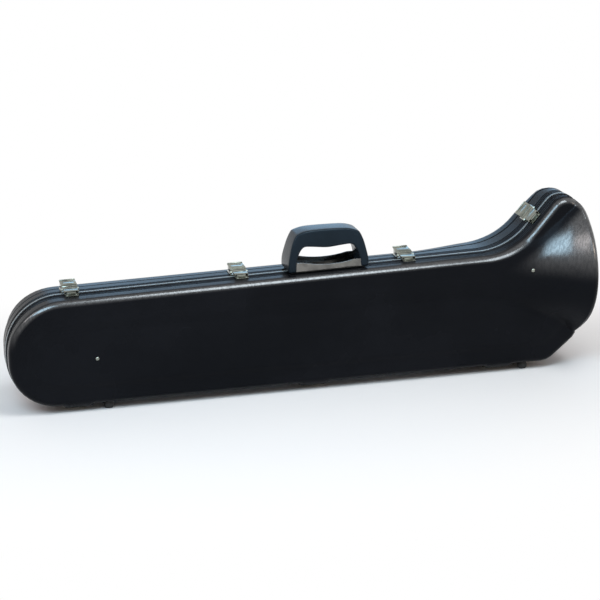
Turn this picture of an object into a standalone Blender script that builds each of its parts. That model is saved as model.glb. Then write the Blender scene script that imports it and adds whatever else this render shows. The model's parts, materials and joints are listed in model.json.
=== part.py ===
"""Moulded trombone case, standing on its hinge side with the handle up.

X runs along the case from the slim end to the bell end, Y is its thickness with the
lid (front shell) at -Y, and Z is up. The origin lies on the floor, midway along the case.
"""
from math import atan2, ceil, cos, hypot, pi, radians, sin, tan

import bmesh
import bpy
import numpy as np
from mathutils import Matrix, Vector

# Driving dimensions, in metres and radians

# Side outline at the seam, heights measured from the underside of the shells
CASE_LENGTH = 0.944
SLIM_HEIGHT = 0.174
FLARE_FOOT_HEIGHT = 0.1915
CREST_HEIGHT = 0.2795
SLIM_UPPER_RADIUS = 0.086
SLIM_LOWER_RADIUS = 0.076
FLARE_ANGLE = radians(50)
FLARE_RADIUS = 0.112
END_TOP_RADIUS = 0.030
END_BOTTOM_RADIUS = 0.030
CHAMFER_ANGLE = radians(40)
CHAMFER_LENGTH = 0.052
CHAMFER_RADIUS = 0.032

# Moulded shells
WALL = 0.003
GAP = 0.0003
FRONT_DEPTH = 0.0355
BACK_DEPTH = 0.0535
SEAM_OFFSET = 0.009
FRONT_EDGE_RADIUS = 0.012
BACK_EDGE_RADIUS = 0.016
DRAFT = 0.0004
SHOULDER_START = 0.026
SHOULDER_WIDTH = 0.014
SHOULDER_RISE = 0.0022
BACK_SWELL = 0.024
BACK_SWELL_REACH = 0.282
BACK_SWELL_LENGTH = 0.150
BACK_SWELL_TURN_REACH = 0.087
BACK_SWELL_SHARE = 0.35
BAND_WIDTH = 0.005
BAND_PROUD = 0.0009

# Round bell end that swells out of both shells
BELL_RADIUS = 0.120
BELL_NECK_RADIUS = 0.032
BELL_CENTRE_HEIGHT = 0.1545
BELL_REACH = 0.210
BELL_FLARE_POWER = 2.2
BELL_BLEND = 0.040
RIM_RADIUS = 0.010
CLOSING_SHARE = 0.6

# Hinge pads moulded on the underside, hinges and feet
PAD_FROM_SLIM_END = 0.106
PAD_FROM_MIDDLE = 0.016
PAD_FROM_BELL_END = 0.138
PAD_LENGTH = 0.050
PAD_RAMP = 0.006
PAD_END_SHARE = 0.6
PAD_PROUD = 0.005
HINGE_LENGTH = 0.036
LEAF_WIDTH = 0.015
LEAF_THICKNESS = 0.0012
KNUCKLE_RADIUS = 0.003
HINGE_PIN_RADIUS = 0.0011
FOOT_FROM_SLIM_END = 0.155
FOOT_FROM_BELL_END = 0.092
FOOT_HEIGHT = 0.012
FOOT_RADIUS = 0.008
FRONT_FOOT_OUT = 0.017
BACK_FOOT_OUT = 0.037

# Tongue that keys the shells together, and the plush inserts
TONGUE_THICKNESS = 0.0014
TONGUE_REACH = 0.003
TONGUE_SEAT = 0.0034
LINER_RECESS = 0.0010
LINER_CLEARANCE = 0.0008
LINER_SLACK = 0.0011
BELL_CAVITY_WALL = 0.0105
BELL_THROAT_RADIUS = 0.016
BELL_THROAT_MARGIN = 0.086
BELL_MOUTH_WALL = 0.0085
BOX_FROM_SLIM_END = 0.036
BOX_LENGTH = 0.185
BOX_BOTTOM = 0.026
BOX_HEIGHT = 0.116
BOX_DEPTH = 0.038
TRAY_RIB = 0.026
NECK_TRAY_FROM_BELL_END = 0.367
NECK_TRAY_BOTTOM = 0.022
NECK_TRAY_HEIGHT = 0.072
NECK_TRAY_DEPTH = 0.032
SLIDE_TRAY_FROM_SLIM_END = 0.032
SLIDE_TRAY_FROM_BELL_END = 0.182
SLIDE_TRAY_BOTTOM = 0.016
SLIDE_TRAY_HEIGHT = 0.098
SLIDE_TRAY_DEPTH = 0.030
TRAY_CORNER = 0.014

# Slide holders inside the lid
BLOCK_FROM_SLIM_END = 0.1363
BLOCK_FROM_BELL_END = 0.322
BLOCK_LENGTH = 0.022
BLOCK_HEIGHT = 0.090
BLOCK_DEPTH = 0.018
GROOVE_RADIUS = 0.0085
GROOVE_SPACING = 0.054
CLIP_LENGTH = 0.074
CLIP_WIDTH = 0.010
CLIP_THICKNESS = 0.0025
CLIP_SCREW_RADIUS = 0.002
CLIP_SCREW_HEAD = 0.0035
CLIP_SCREW_RISE = 0.0012
RIVET_RADIUS = 0.0035
RIVET_RISE = 0.0012
RIVET_CROWN_SHARE = 0.6
SLIM_RIVET_HEIGHT = 0.0772
BELL_RIVET_FROM_END = 0.0935
BELL_RIVET_HEIGHT = 0.168

# Carrying handle and its bracket
HANDLE_PLACE = 0.0428
HANDLE_OFFSET = 0.004
HANDLE_LENGTH = 0.1335
HANDLE_TOP_LENGTH = 0.110
HANDLE_HEIGHT = 0.068
HANDLE_FOOT_RISE = 0.0018
HANDLE_FOOT_DEPTH = 0.052
HANDLE_LEG_THICKNESS = 0.019
HANDLE_GRIP_DEPTH = 0.036
HANDLE_GRIP_THICKNESS = 0.032
HANDLE_SHOULDER_DEPTH = 0.041
HANDLE_SHOULDER_THICKNESS = 0.022
HANDLE_TOP_FALL = 0.0022
POCKET_WALL = 0.0025
BRACKET_THICKNESS = 0.0012
BRACKET_END_HEIGHT = 0.0165
BRACKET_WAIST_HEIGHT = 0.0112
BRACKET_END_INSET = 0.0045
HANDLE_PIN_RADIUS = 0.002
HANDLE_PIN_RISE = 0.0095

# Draw latches across the seam, in each latch's own frame
SLIM_LATCH_FROM_END = 0.104
MIDDLE_LATCH_PLACES = (-0.098, 0.180)
FLARE_LATCH_SHARE = 0.33
LATCH_WIDTH = 0.028
PLATE_THICKNESS = 0.0012
BASE_START = 0.0064
BASE_END = 0.034
LEVER_PIVOT_OUT = 0.0095
LEVER_PIVOT_RISE = 0.0044
DRAW_PIVOT_OUT = 0.0040
DRAW_PIVOT_RISE = 0.0030
LATCH_PIN_RADIUS = 0.0010
LEVER_TAB_REACH = 0.0375
LEVER_TAB_RISE = 0.0118
DRAW_BAR_OUT = 0.0115
DRAW_BAR_WIDTH = 0.0026
DRAW_BAR_RISE = 0.0020
DRAW_WINDOW = 0.0070
DRAW_RAIL = 0.0032
KEEPER_END = 0.0155
KEEPER_WIDTH = 0.020
KEEPER_TONGUE_RISE = 0.0026

# Resolution of round stretches
ARC_STEPS = 4
EDGE_STEPS = 4
FLARE_STEPS = 9
BULGE_POWER = 6
SIDE_STEPS = 10
ROUND_SIDES = 12
SECTION_SIDES = 16
SMALL_SIDES = 8
DIP_STEPS = 8
CLIP_STEPS = 6
FOOT_SIDES = 12
CAVITY_SIDES = 18
TIP_SPLIT = radians(30)
END_SPLIT = radians(35)
CUT_OVERRUN = 0.002

# Places that follow from the driving dimensions
END_X = CASE_LENGTH / 2
FLOOR_TO_SHELL = FOOT_HEIGHT
TONGUE_INSET = WALL - BAND_PROUD + GAP
LINER_INSET = TONGUE_INSET + TONGUE_THICKNESS + LINER_CLEARANCE
HINGE_AXIS_Z = FLOOR_TO_SHELL - PAD_PROUD - GAP - KNUCKLE_RADIUS
BELL_CENTRE_Z = FLOOR_TO_SHELL + BELL_CENTRE_HEIGHT
BACK_SWELL_START = END_X - BACK_SWELL_REACH
BACK_SWELL_FULL = BACK_SWELL_START + BACK_SWELL_LENGTH
BACK_SWELL_TURN = END_X - BACK_SWELL_TURN_REACH
PAD_PLACES = (PAD_FROM_SLIM_END - END_X, PAD_FROM_MIDDLE, END_X - PAD_FROM_BELL_END)
FOOT_PLACES = (FOOT_FROM_SLIM_END - END_X, END_X - FOOT_FROM_BELL_END)
BOX_LEFT = BOX_FROM_SLIM_END - END_X
BELL_THROAT_START = BOX_LEFT + BOX_LENGTH + BELL_THROAT_MARGIN
SLIM_BLOCK_END = BOX_LEFT + BOX_LENGTH + TRAY_RIB / 2
BACK_BLOCK_START = BACK_SWELL_START - TRAY_RIB / 2
NECK_TRAY_LEFT = BOX_LEFT + BOX_LENGTH + TRAY_RIB
NECK_TRAY_LENGTH = END_X - NECK_TRAY_FROM_BELL_END - NECK_TRAY_LEFT
SLIDE_TRAY_LEFT = SLIDE_TRAY_FROM_SLIM_END - END_X
SLIDE_TRAY_LENGTH = END_X - SLIDE_TRAY_FROM_BELL_END - SLIDE_TRAY_LEFT
FRONT_BLOCK_START = SLIDE_TRAY_LEFT + SLIDE_TRAY_LENGTH + TRAY_RIB / 4
BLOCK_PLACES = (BLOCK_FROM_SLIM_END - END_X, END_X - BLOCK_FROM_BELL_END)
FACE_RIVETS = ((BLOCK_PLACES[0], SLIM_RIVET_HEIGHT), (END_X - BELL_RIVET_FROM_END, BELL_RIVET_HEIGHT))
LATCH_PLACES = (SLIM_LATCH_FROM_END - END_X, *MIDDLE_LATCH_PLACES)


# Scene and small helpers

def clear_scene():
    for old in list(bpy.data.objects):
        bpy.data.objects.remove(old)


def make_collection(name):
    made = bpy.data.collections.new(name)
    bpy.context.scene.collection.children.link(made)
    return made


clear_scene()
PARTS = make_collection("trombone_case")
CUTTERS = make_collection("cutters")


def make_material(name, colour, roughness, metallic=0.0):
    made = bpy.data.materials.new(name)
    made.use_nodes = True
    shader = made.node_tree.nodes["Principled BSDF"]
    shader.inputs["Base Color"].default_value = (*colour, 1.0)
    shader.inputs["Roughness"].default_value = roughness
    shader.inputs["Metallic"].default_value = metallic
    return made


SHELL_BLACK = make_material("moulded_shell_black", (0.012, 0.013, 0.017), 0.32)
HANDLE_BLACK = make_material("handle_black", (0.020, 0.024, 0.030), 0.38)
NICKEL = make_material("nickel_plate", (0.62, 0.62, 0.58), 0.28, 1.0)
FOOT_RUBBER = make_material("foot_rubber", (0.015, 0.015, 0.016), 0.75)
PLUSH = make_material("plush_lining", (0.035, 0.010, 0.014), 0.95)
BLOCK_WOOD = make_material("block_wood", (0.30, 0.18, 0.09), 0.60)
TONGUE_ALUMINIUM = make_material("tongue_aluminium", (0.55, 0.56, 0.58), 0.40, 1.0)


def mesh_object(name, points, faces, material, cutter=False):
    mesh = bpy.data.meshes.new(name)
    mesh.from_pydata([tuple(map(float, point)) for point in points], [], faces)
    mesh.materials.append(material)
    made = bpy.data.objects.new(name, mesh)
    (CUTTERS if cutter else PARTS).objects.link(made)
    if cutter:
        made.hide_render = True
        made.display_type = "WIRE"
    return made


def bmesh_object(name, work, material, cutter=False):
    bmesh.ops.recalc_face_normals(work, faces=work.faces)
    made = mesh_object(name, [], [], material, cutter)
    work.to_mesh(made.data)
    work.free()
    return made


def closed_object(name, points, faces, material):
    """Loft whose faces close a body, turned to point outwards."""
    made = mesh_object(name, points, faces, material)
    work = bmesh.new()
    work.from_mesh(made.data)
    bmesh.ops.recalc_face_normals(work, faces=work.faces)
    work.to_mesh(made.data)
    work.free()
    return made


def box(name, low, high, material, cutter=False):
    work = bmesh.new()
    bmesh.ops.create_cube(work, size=1.0)
    for vertex in work.verts:
        for axis in range(3):
            middle = (low[axis] + high[axis]) / 2
            vertex.co[axis] = middle + vertex.co[axis] * (high[axis] - low[axis])
    return bmesh_object(name, work, material, cutter)


def cylinder(name, start, end, radius, material, cutter=False, sides=ROUND_SIDES, end_radius=None):
    start, end = Vector(start), Vector(end)
    work = bmesh.new()
    bmesh.ops.create_cone(work, cap_ends=True, segments=sides, depth=(end - start).length,
                          radius1=radius, radius2=radius if end_radius is None else end_radius)
    turn = (end - start).to_track_quat("Z", "Y").to_matrix().to_4x4()
    bmesh.ops.transform(work, matrix=Matrix.Translation((start + end) / 2) @ turn, verts=work.verts)
    return bmesh_object(name, work, material, cutter)


def prism(name, outline, low, high, material, axis="X", cutter=False):
    """Flat outline pushed along an axis: points are (Y, Z) for X, (X, Z) for Y and (X, Y) for Z."""
    work = bmesh.new()
    if axis == "X":
        corners = [(low, a, b) for a, b in outline]
        push = (high - low, 0, 0)
    elif axis == "Y":
        corners = [(a, low, b) for a, b in outline]
        push = (0, high - low, 0)
    else:
        corners = [(a, b, low) for a, b in outline]
        push = (0, 0, high - low)
    face = work.faces.new([work.verts.new(corner) for corner in corners])
    grown = bmesh.ops.extrude_face_region(work, geom=[face])
    moved = [item for item in grown["geom"] if isinstance(item, bmesh.types.BMVert)]
    bmesh.ops.translate(work, verts=moved, vec=push)
    return bmesh_object(name, work, material, cutter)


def join_or_cut(target, others, operation):
    for other in others:
        change = target.modifiers.new(operation.lower() + "_" + other.name, "BOOLEAN")
        change.operation = operation
        change.object = other
        change.solver = "EXACT"


def cut(target, *others):
    join_or_cut(target, others, "DIFFERENCE")


def join(target, *others):
    join_or_cut(target, others, "UNION")


def bake(target):
    """Turn an object's modifiers into plain mesh, so that its copies can share it."""
    bpy.context.view_layer.update()
    graph = bpy.context.evaluated_depsgraph_get()
    mesh = bpy.data.meshes.new_from_object(target.evaluated_get(graph))
    target.modifiers.clear()
    target.data = mesh
    return mesh


def smooth(target, angle=radians(35)):
    target.data.shade_smooth()
    target.data.set_sharp_from_angle(angle=angle)


# Side outline: a polygon whose corners are rounded by arcs

def outline_corners():
    """Corners clockwise from the slim end's top, each with its radius, seen from the lid side."""
    low = FLOOR_TO_SHELL
    crest_x = END_X - END_TOP_RADIUS
    crest_z = low + CREST_HEIGHT - END_TOP_RADIUS
    touch_x = crest_x - END_TOP_RADIUS * sin(FLARE_ANGLE)
    touch_z = crest_z + END_TOP_RADIUS * cos(FLARE_ANGLE)
    foot_z = low + FLARE_FOOT_HEIGHT
    foot_x = touch_x - (touch_z - foot_z) / tan(FLARE_ANGLE)
    top_z = touch_z + (END_X - touch_x) * tan(FLARE_ANGLE)
    slim_x = -END_X + SLIM_UPPER_RADIUS
    rise = (FLARE_FOOT_HEIGHT - SLIM_HEIGHT) / (foot_x - slim_x)
    slim_z = low + SLIM_HEIGHT - rise * SLIM_UPPER_RADIUS
    chamfer_z = low + CHAMFER_LENGTH * tan(CHAMFER_ANGLE)
    return [
        (-END_X, slim_z, SLIM_UPPER_RADIUS),
        (foot_x, foot_z, FLARE_RADIUS),
        (END_X, top_z, END_TOP_RADIUS),
        (END_X, chamfer_z, END_BOTTOM_RADIUS),
        (END_X - CHAMFER_LENGTH, low, CHAMFER_RADIUS),
        (-END_X, low, SLIM_LOWER_RADIUS),
    ]


def rounded_corner(before, corner, after):
    """Arc that rounds one corner: its centre, radius, end normals and turning side."""
    here = np.array(corner[:2])
    arrive = here - np.array(before[:2])
    leave = np.array(after[:2]) - here
    arrive = arrive / hypot(*arrive)
    leave = leave / hypot(*leave)
    turn = atan2(arrive[0] * leave[1] - arrive[1] * leave[0], float(arrive @ leave))
    radius = corner[2]
    start = here - arrive * radius * tan(abs(turn) / 2)
    normal = np.array((-arrive[1], arrive[0]))
    convex = turn < 0
    centre = start - normal * radius if convex else start + normal * radius
    return {"centre": centre, "radius": radius, "from": atan2(normal[1], normal[0]), "turn": turn,
            "convex": convex}


CORNERS = outline_corners()
ARCS = [rounded_corner(CORNERS[i - 1], CORNERS[i], CORNERS[(i + 1) % len(CORNERS)])
        for i in range(len(CORNERS))]
TOP_LEFT, FLARE_FOOT, END_TOP, END_BOTTOM, CHAMFER, BOTTOM_LEFT = range(len(CORNERS))


def on_arc(index, share):
    """Point and outward normal part of the way round a corner's arc."""
    arc = ARCS[index]
    angle = arc["from"] + arc["turn"] * share
    normal = np.array((cos(angle), sin(angle)))
    reach = arc["radius"] if arc["convex"] else -arc["radius"]
    return arc["centre"] + normal * reach, normal


def on_edge(index, share):
    """Point and outward normal part of the way along the straight after a corner."""
    start, normal = on_arc(index, 1.0)
    end, _ = on_arc((index + 1) % len(ARCS), 0.0)
    return start + (end - start) * share, normal


def on_edge_at(index, x):
    start, _ = on_edge(index, 0.0)
    end, _ = on_edge(index, 1.0)
    return on_edge(index, (x - start[0]) / (end[0] - start[0]))


def arc_run(index, first, last, steps):
    """Samples after the first share up to the last one."""
    return [on_arc(index, first + (last - first) * step / steps) for step in range(1, steps + 1)]


def pad_stations():
    stations = []
    for place in PAD_PLACES:
        half = PAD_LENGTH / 2
        stations += [place - half, place - half + PAD_RAMP, place + half - PAD_RAMP, place + half]
    first, second, third = PAD_PLACES
    return sorted(stations + [(first + second) / 2, (second + third) / 2])


def outline_sides():
    """Samples of the outline as the four sides of a long grid.

    Top and bottom run from the slim end to the bell end and have as many samples as each
    other; left and right run from top to bottom.
    """
    top_share = TIP_SPLIT / abs(ARCS[TOP_LEFT]["turn"])
    low_share = 1 - TIP_SPLIT / abs(ARCS[BOTTOM_LEFT]["turn"])
    end_share = 1 - END_SPLIT / abs(ARCS[END_TOP]["turn"])
    quarter = SIDE_STEPS // 2
    left = [on_arc(TOP_LEFT, top_share * (1 - i / (quarter - 1))) for i in range(quarter)]
    left.append(on_edge(BOTTOM_LEFT, 1 / 2))
    left += [on_arc(BOTTOM_LEFT, 1 - (1 - low_share) * i / (quarter - 1)) for i in range(quarter)]
    right = [on_arc(END_TOP, end_share + (1 - end_share) * i / 2) for i in range(3)]
    straight = SIDE_STEPS - 4
    right += [on_edge(END_TOP, i / straight) for i in range(1, straight)]
    right += [on_arc(END_BOTTOM, i / 4) for i in range(3)]
    bottom = [left[-1]]
    bottom += arc_run(BOTTOM_LEFT, low_share, 0.0, ARC_STEPS)
    bottom += [on_edge_at(CHAMFER, x) for x in pad_stations()]
    bottom += [on_edge(CHAMFER, 0.0)]
    bottom += arc_run(CHAMFER, 1.0, 0.0, 2)
    bottom += [on_edge(END_BOTTOM, 1 / 2), on_edge(END_BOTTOM, 0.0), right[-1]]
    top = [left[0]]
    top += arc_run(TOP_LEFT, top_share, 1.0, ARC_STEPS)
    straight = len(bottom) - 1 - 2 * ARC_STEPS - ARC_STEPS - 3
    top += [on_edge(TOP_LEFT, i / straight) for i in range(1, straight + 1)]
    top += arc_run(FLARE_FOOT, 0.0, 1.0, ARC_STEPS)
    top += [on_edge(FLARE_FOOT, i / 2) for i in range(1, 3)]
    top += arc_run(END_TOP, 0.0, end_share, ARC_STEPS + 1)
    return top, right, bottom, left


TOP, RIGHT, BOTTOM, LEFT = outline_sides()
assert len(TOP) == len(BOTTOM) and len(LEFT) == len(RIGHT) == SIDE_STEPS + 1
LOOP = TOP + RIGHT[1:] + BOTTOM[-2::-1] + LEFT[-2:0:-1]
LOOP_POINTS = np.array([point for point, _ in LOOP])
LOOP_NORMALS = np.array([normal for _, normal in LOOP])


def dense_outline():
    """The outline as a fine closed polyline, for measuring distances to it."""
    points = []
    for index in range(len(ARCS)):
        steps = 4 * ceil(abs(ARCS[index]["turn"]) / radians(10))
        points += [on_arc(index, step / steps)[0] for step in range(steps + 1)]
    return np.array(points)


DENSE = dense_outline()


def distance_to_outline(points):
    starts = DENSE
    spans = np.roll(DENSE, -1, axis=0) - DENSE
    lengths = np.maximum((spans ** 2).sum(axis=1), GAP ** 4)
    nearest = np.full(len(points), np.inf)
    for start, span, length in zip(starts, spans, lengths):
        along = np.clip(((points - start) @ span) / length, 0.0, 1.0)
        away = points - start - along[:, None] * span
        nearest = np.minimum(nearest, np.sqrt((away ** 2).sum(axis=1)))
    return nearest


# Depth of a shell at any point of the side view

def bell_radius_at(x):
    """Radius of the round bell swelling, a flare that opens towards the bell end."""
    start = END_X - BELL_REACH
    full = END_X - RIM_RADIUS
    share = np.clip((np.asarray(x) - start) / (full - start), 0.0, 1.0)
    return BELL_NECK_RADIUS + (BELL_RADIUS - BELL_NECK_RADIUS) * share ** BELL_FLARE_POWER


def ease(values, start, end):
    """Smooth rise from zero to one between two places."""
    share = np.clip((np.asarray(values) - start) / (end - start), 0.0, 1.0)
    return share ** 2 * (3 - 2 * share)


def edge_radius(side):
    return FRONT_EDGE_RADIUS if side < 0 else BACK_EDGE_RADIUS


def box_depth_at(x, side):
    """Depth of the flat face: the back shell grows deeper towards the flare."""
    if side < 0:
        return np.full(len(x), FRONT_DEPTH)
    grown = ease(x, BACK_SWELL_START, BACK_SWELL_FULL)
    grown = grown - (1 - BACK_SWELL_SHARE) * ease(x, BACK_SWELL_TURN, END_X - END_TOP_RADIUS)
    return BACK_DEPTH + BACK_SWELL * grown


def shell_depth(points, side, plan_inset=0.0, depth_inset=0.0, bell_inset=0.0):
    """How far a shell's face stands from the seam: a box with a shoulder, swelling at the bell."""
    box_depth = box_depth_at(points[:, 0], side)
    inward = np.maximum(distance_to_outline(points) - DRAFT - plan_inset, 0.0)
    radius = edge_radius(side) - plan_inset
    short = np.maximum(radius - inward, 0.0)
    flat = box_depth - depth_inset - radius + np.sqrt(np.maximum(radius ** 2 - short ** 2, 0.0))
    flat = flat + SHOULDER_RISE * ease(inward, SHOULDER_START, SHOULDER_START + SHOULDER_WIDTH)
    rim = RIM_RADIUS - plan_inset
    past = np.clip(points[:, 0] - (END_X - plan_inset - rim), 0.0, rim)
    bell = bell_radius_at(points[:, 0]) - bell_inset - (rim - np.sqrt(rim ** 2 - past ** 2))
    height = points[:, 1] - BELL_CENTRE_Z
    swell = np.sqrt(np.maximum(bell ** 2 - height ** 2, 0.0)) + side * SEAM_OFFSET
    overlap = np.maximum(BELL_BLEND - np.abs(flat - swell), 0.0) / BELL_BLEND
    return np.maximum(flat, swell) + overlap ** 2 * BELL_BLEND / 4


def pad_share(x, bottom):
    """One over a hinge pad, falling to zero along its ramps."""
    if not bottom:
        return 0.0
    reach = max((PAD_LENGTH / 2 - abs(x - place)) / PAD_RAMP for place in PAD_PLACES)
    return min(max(reach, 0.0), 1.0)


LOOP_PADS = np.array([pad_share(point[0], normal[1] < -cos(radians(1))) for point, normal in LOOP])


def ring(inward):
    """The whole outline moved inward by a length or by one length per sample."""
    inward = np.broadcast_to(inward, len(LOOP_POINTS))
    return LOOP_POINTS - LOOP_NORMALS * inward[:, None]


def inner_grid(loop):
    """Points between a ring's four sides: rungs from top to bottom, bulging at both ends."""
    columns = len(TOP) - 1
    rows = SIDE_STEPS
    top = loop[:columns + 1]
    right = loop[columns:columns + rows + 1]
    bottom = loop[columns + rows:2 * columns + rows + 1][::-1]
    left = np.vstack([loop[2 * columns + rows:], loop[:1]])[::-1]
    middle = (top[:, 0] + bottom[:, 0]) / 2
    across = (middle - middle[0]) / (middle[-1] - middle[0])
    left_down = (left[:, 1] - left[0, 1]) / (left[-1, 1] - left[0, 1])
    right_down = (right[:, 1] - right[0, 1]) / (right[-1, 1] - right[0, 1])
    left_bulge = left[:, 0] - left[0, 0] - (left[-1, 0] - left[0, 0]) * left_down
    right_bulge = right[:, 0] - right[0, 0] - (right[-1, 0] - right[0, 0]) * right_down
    grid = np.zeros((rows + 1, columns + 1, 2))
    for i, u in enumerate(across):
        down = left_down + (right_down - left_down) * u
        grid[:, i] = top[i] + (bottom[i] - top[i]) * down[:, None]
        grid[:, i, 0] += left_bulge * (1 - u) ** BULGE_POWER + right_bulge * u ** BULGE_POWER
    return grid


def grid_index(grid_shape, first_inner, last_ring):
    """Vertex numbers of the grid: its border is the last ring, its inside comes after it."""
    rows, columns = grid_shape[0] - 1, grid_shape[1] - 1
    number = np.zeros(grid_shape[:2], dtype=int)
    count = len(LOOP)
    for i in range(columns + 1):
        number[0, i] = last_ring + i
        number[rows, i] = last_ring + 2 * columns + rows - i
    for j in range(rows + 1):
        number[j, columns] = last_ring + columns + j
        number[j, 0] = last_ring + (2 * columns + 2 * rows - j) % count
    inner = first_inner
    for j in range(1, rows):
        for i in range(1, columns):
            number[j, i] = inner
            inner += 1
    return number


def skin(rings, side, insets):
    """Points and faces of a half: rings down its wall, then a grid over its face."""
    count = len(LOOP)
    points = [(x, side * y, z) for plan, depth in rings for (x, z), y in zip(plan, depth)]
    grid = inner_grid(rings[-1][0])
    inside = grid[1:-1, 1:-1].reshape(-1, 2)
    depths = shell_depth(inside, side, *insets)
    points += [(x, side * y, z) for (x, z), y in zip(inside, depths)]
    faces = []
    for level in range(len(rings) - 1):
        for i in range(count):
            j = (i + 1) % count
            a, b = level * count + i, level * count + j
            faces.append((a, b, b + count, a + count))
    number = grid_index(grid.shape, len(rings) * count, (len(rings) - 1) * count)
    for j in range(number.shape[0] - 1):
        for i in range(number.shape[1] - 1):
            faces.append((number[j, i], number[j, i + 1], number[j + 1, i + 1], number[j + 1, i]))
    if side < 0:
        faces = [face[::-1] for face in faces]
    return points, [tuple(int(v) for v in face) for face in faces]


def shoulder_ring(inward):
    """Ring inside the rounded edge that closes up where the bell end's corners are tight."""
    share = inward / (SHOULDER_START + SHOULDER_WIDTH) * CLOSING_SHARE
    near = BACK_EDGE_RADIUS + (END_BOTTOM_RADIUS - BACK_EDGE_RADIUS) * share
    start = END_X - BELL_REACH / 2
    share = np.clip((LOOP_POINTS[:, 0] - start) / (END_X - CHAMFER_LENGTH - start), 0.0, 1.0)
    return ring(inward + (near - inward) * share)


def edge_rings(side, turns, insets=(0.0, 0.0, 0.0)):
    """Rings round the rounded edge of a half, at given turns from the wall to the face."""
    radius = edge_radius(side) - insets[0]
    rings = []
    for turn in turns:
        inward = insets[0] + DRAFT + radius * (1 - cos(turn))
        plan = ring(inward)
        rings.append((plan, shell_depth(plan, side, *insets)))
    for inward in (SHOULDER_START, SHOULDER_START + SHOULDER_WIDTH):
        plan = shoulder_ring(inward)
        rings.append((plan, shell_depth(plan, side, *insets)))
    return rings


def make_shell(name, side):
    """One moulded shell: an open skin with a seam band and hinge pads, given its wall."""
    raised = np.maximum(LOOP_PADS * PAD_PROUD, BAND_PROUD)
    wall_end = shell_depth(ring(DRAFT), side)
    edge_turns = [pi / 2 * step / EDGE_STEPS for step in range(1, EDGE_STEPS + 1)]
    edge = edge_rings(side, edge_turns)
    turned_in = DRAFT + edge_radius(side) * (1 - cos(edge_turns[0]))
    edge[0] = (ring(turned_in - LOOP_PADS * PAD_PROUD * PAD_END_SHARE), edge[0][1])
    flat = np.full(len(LOOP), 1.0)
    rings = [
        (ring(-raised), flat * GAP / 2),
        (ring(-raised), flat * BAND_WIDTH),
        (ring(-LOOP_PADS * PAD_PROUD), flat * (BAND_WIDTH + BAND_PROUD)),
        (ring(DRAFT - LOOP_PADS * PAD_PROUD), wall_end),
    ] + edge
    points, faces = skin(rings, side, (0.0, 0.0, 0.0))
    made = mesh_object(name, points, faces, SHELL_BLACK)
    wall = made.modifiers.new("wall", "SOLIDIFY")
    wall.thickness = WALL
    wall.offset = -1
    wall.use_even_offset = True
    smooth(made)
    return made


def make_tongue():
    """Aluminium strip inside the seam: fixed in the back shell, reaching into the lid."""
    outer = ring(TONGUE_INSET)
    inner = ring(TONGUE_INSET + TONGUE_THICKNESS)
    levels = [(outer, -TONGUE_REACH), (outer, TONGUE_SEAT), (inner, TONGUE_SEAT), (inner, -TONGUE_REACH)]
    points = [(x, y, z) for plan, y in levels for x, z in plan]
    count = len(LOOP)
    faces = []
    for level in range(len(levels)):
        following = (level + 1) % len(levels)
        for i in range(count):
            j = (i + 1) % count
            faces.append((level * count + i, level * count + j, following * count + j,
                          following * count + i))
    made = closed_object("seam_tongue", points, faces, TONGUE_ALUMINIUM)
    smooth(made)
    return made


# Plush inserts

def rounded_tray(name, left, length, bottom, height, side, depth):
    """Cutter for a tray with rounded corners, open at the seam."""
    low_z = FLOOR_TO_SHELL + bottom
    near_x, far_x = left + TRAY_CORNER, left + length - TRAY_CORNER
    near_z, far_z = low_z + TRAY_CORNER, low_z + height - TRAY_CORNER
    centres = ((near_x, near_z), (far_x, near_z), (far_x, far_z), (near_x, far_z))
    outline = []
    for quarter, (x, z) in enumerate(centres):
        for step in range(ARC_STEPS + 1):
            angle = pi + pi / 2 * (quarter + step / ARC_STEPS)
            outline.append((x + TRAY_CORNER * cos(angle), z + TRAY_CORNER * sin(angle)))
    low, high = sorted((-side * CUT_OVERRUN, side * (LINER_RECESS + depth)))
    return prism(name, outline, low, high, PLUSH, axis="Y", cutter=True)


def bell_cavity(name):
    """Cutter in the shape of the bell: a profile turned about the bell's own axis."""
    mouth = END_X - LINER_INSET - BELL_MOUTH_WALL
    start = END_X - BELL_REACH
    stations = [mouth - (mouth - start) * (step / FLARE_STEPS) for step in range(FLARE_STEPS)]
    profile = [(mouth, 0.0)]
    for x in stations:
        profile.append((x, max(float(bell_radius_at(x)) - BELL_CAVITY_WALL, BELL_THROAT_RADIUS)))
    profile.append((BELL_THROAT_START, BELL_THROAT_RADIUS))
    profile.append((BELL_THROAT_START, 0.0))
    work = bmesh.new()
    corners = [work.verts.new((x, SEAM_OFFSET, BELL_CENTRE_Z + r)) for x, r in profile]
    edges = [work.edges.new(pair) for pair in zip(corners, corners[1:])]
    bmesh.ops.spin(work, geom=corners + edges, cent=(0, SEAM_OFFSET, BELL_CENTRE_Z), axis=(1, 0, 0),
                   angle=2 * pi, steps=CAVITY_SIDES, use_merge=True)
    bmesh.ops.remove_doubles(work, verts=work.verts, dist=GAP ** 2)
    return bmesh_object(name, work, PLUSH, cutter=True)


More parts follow.
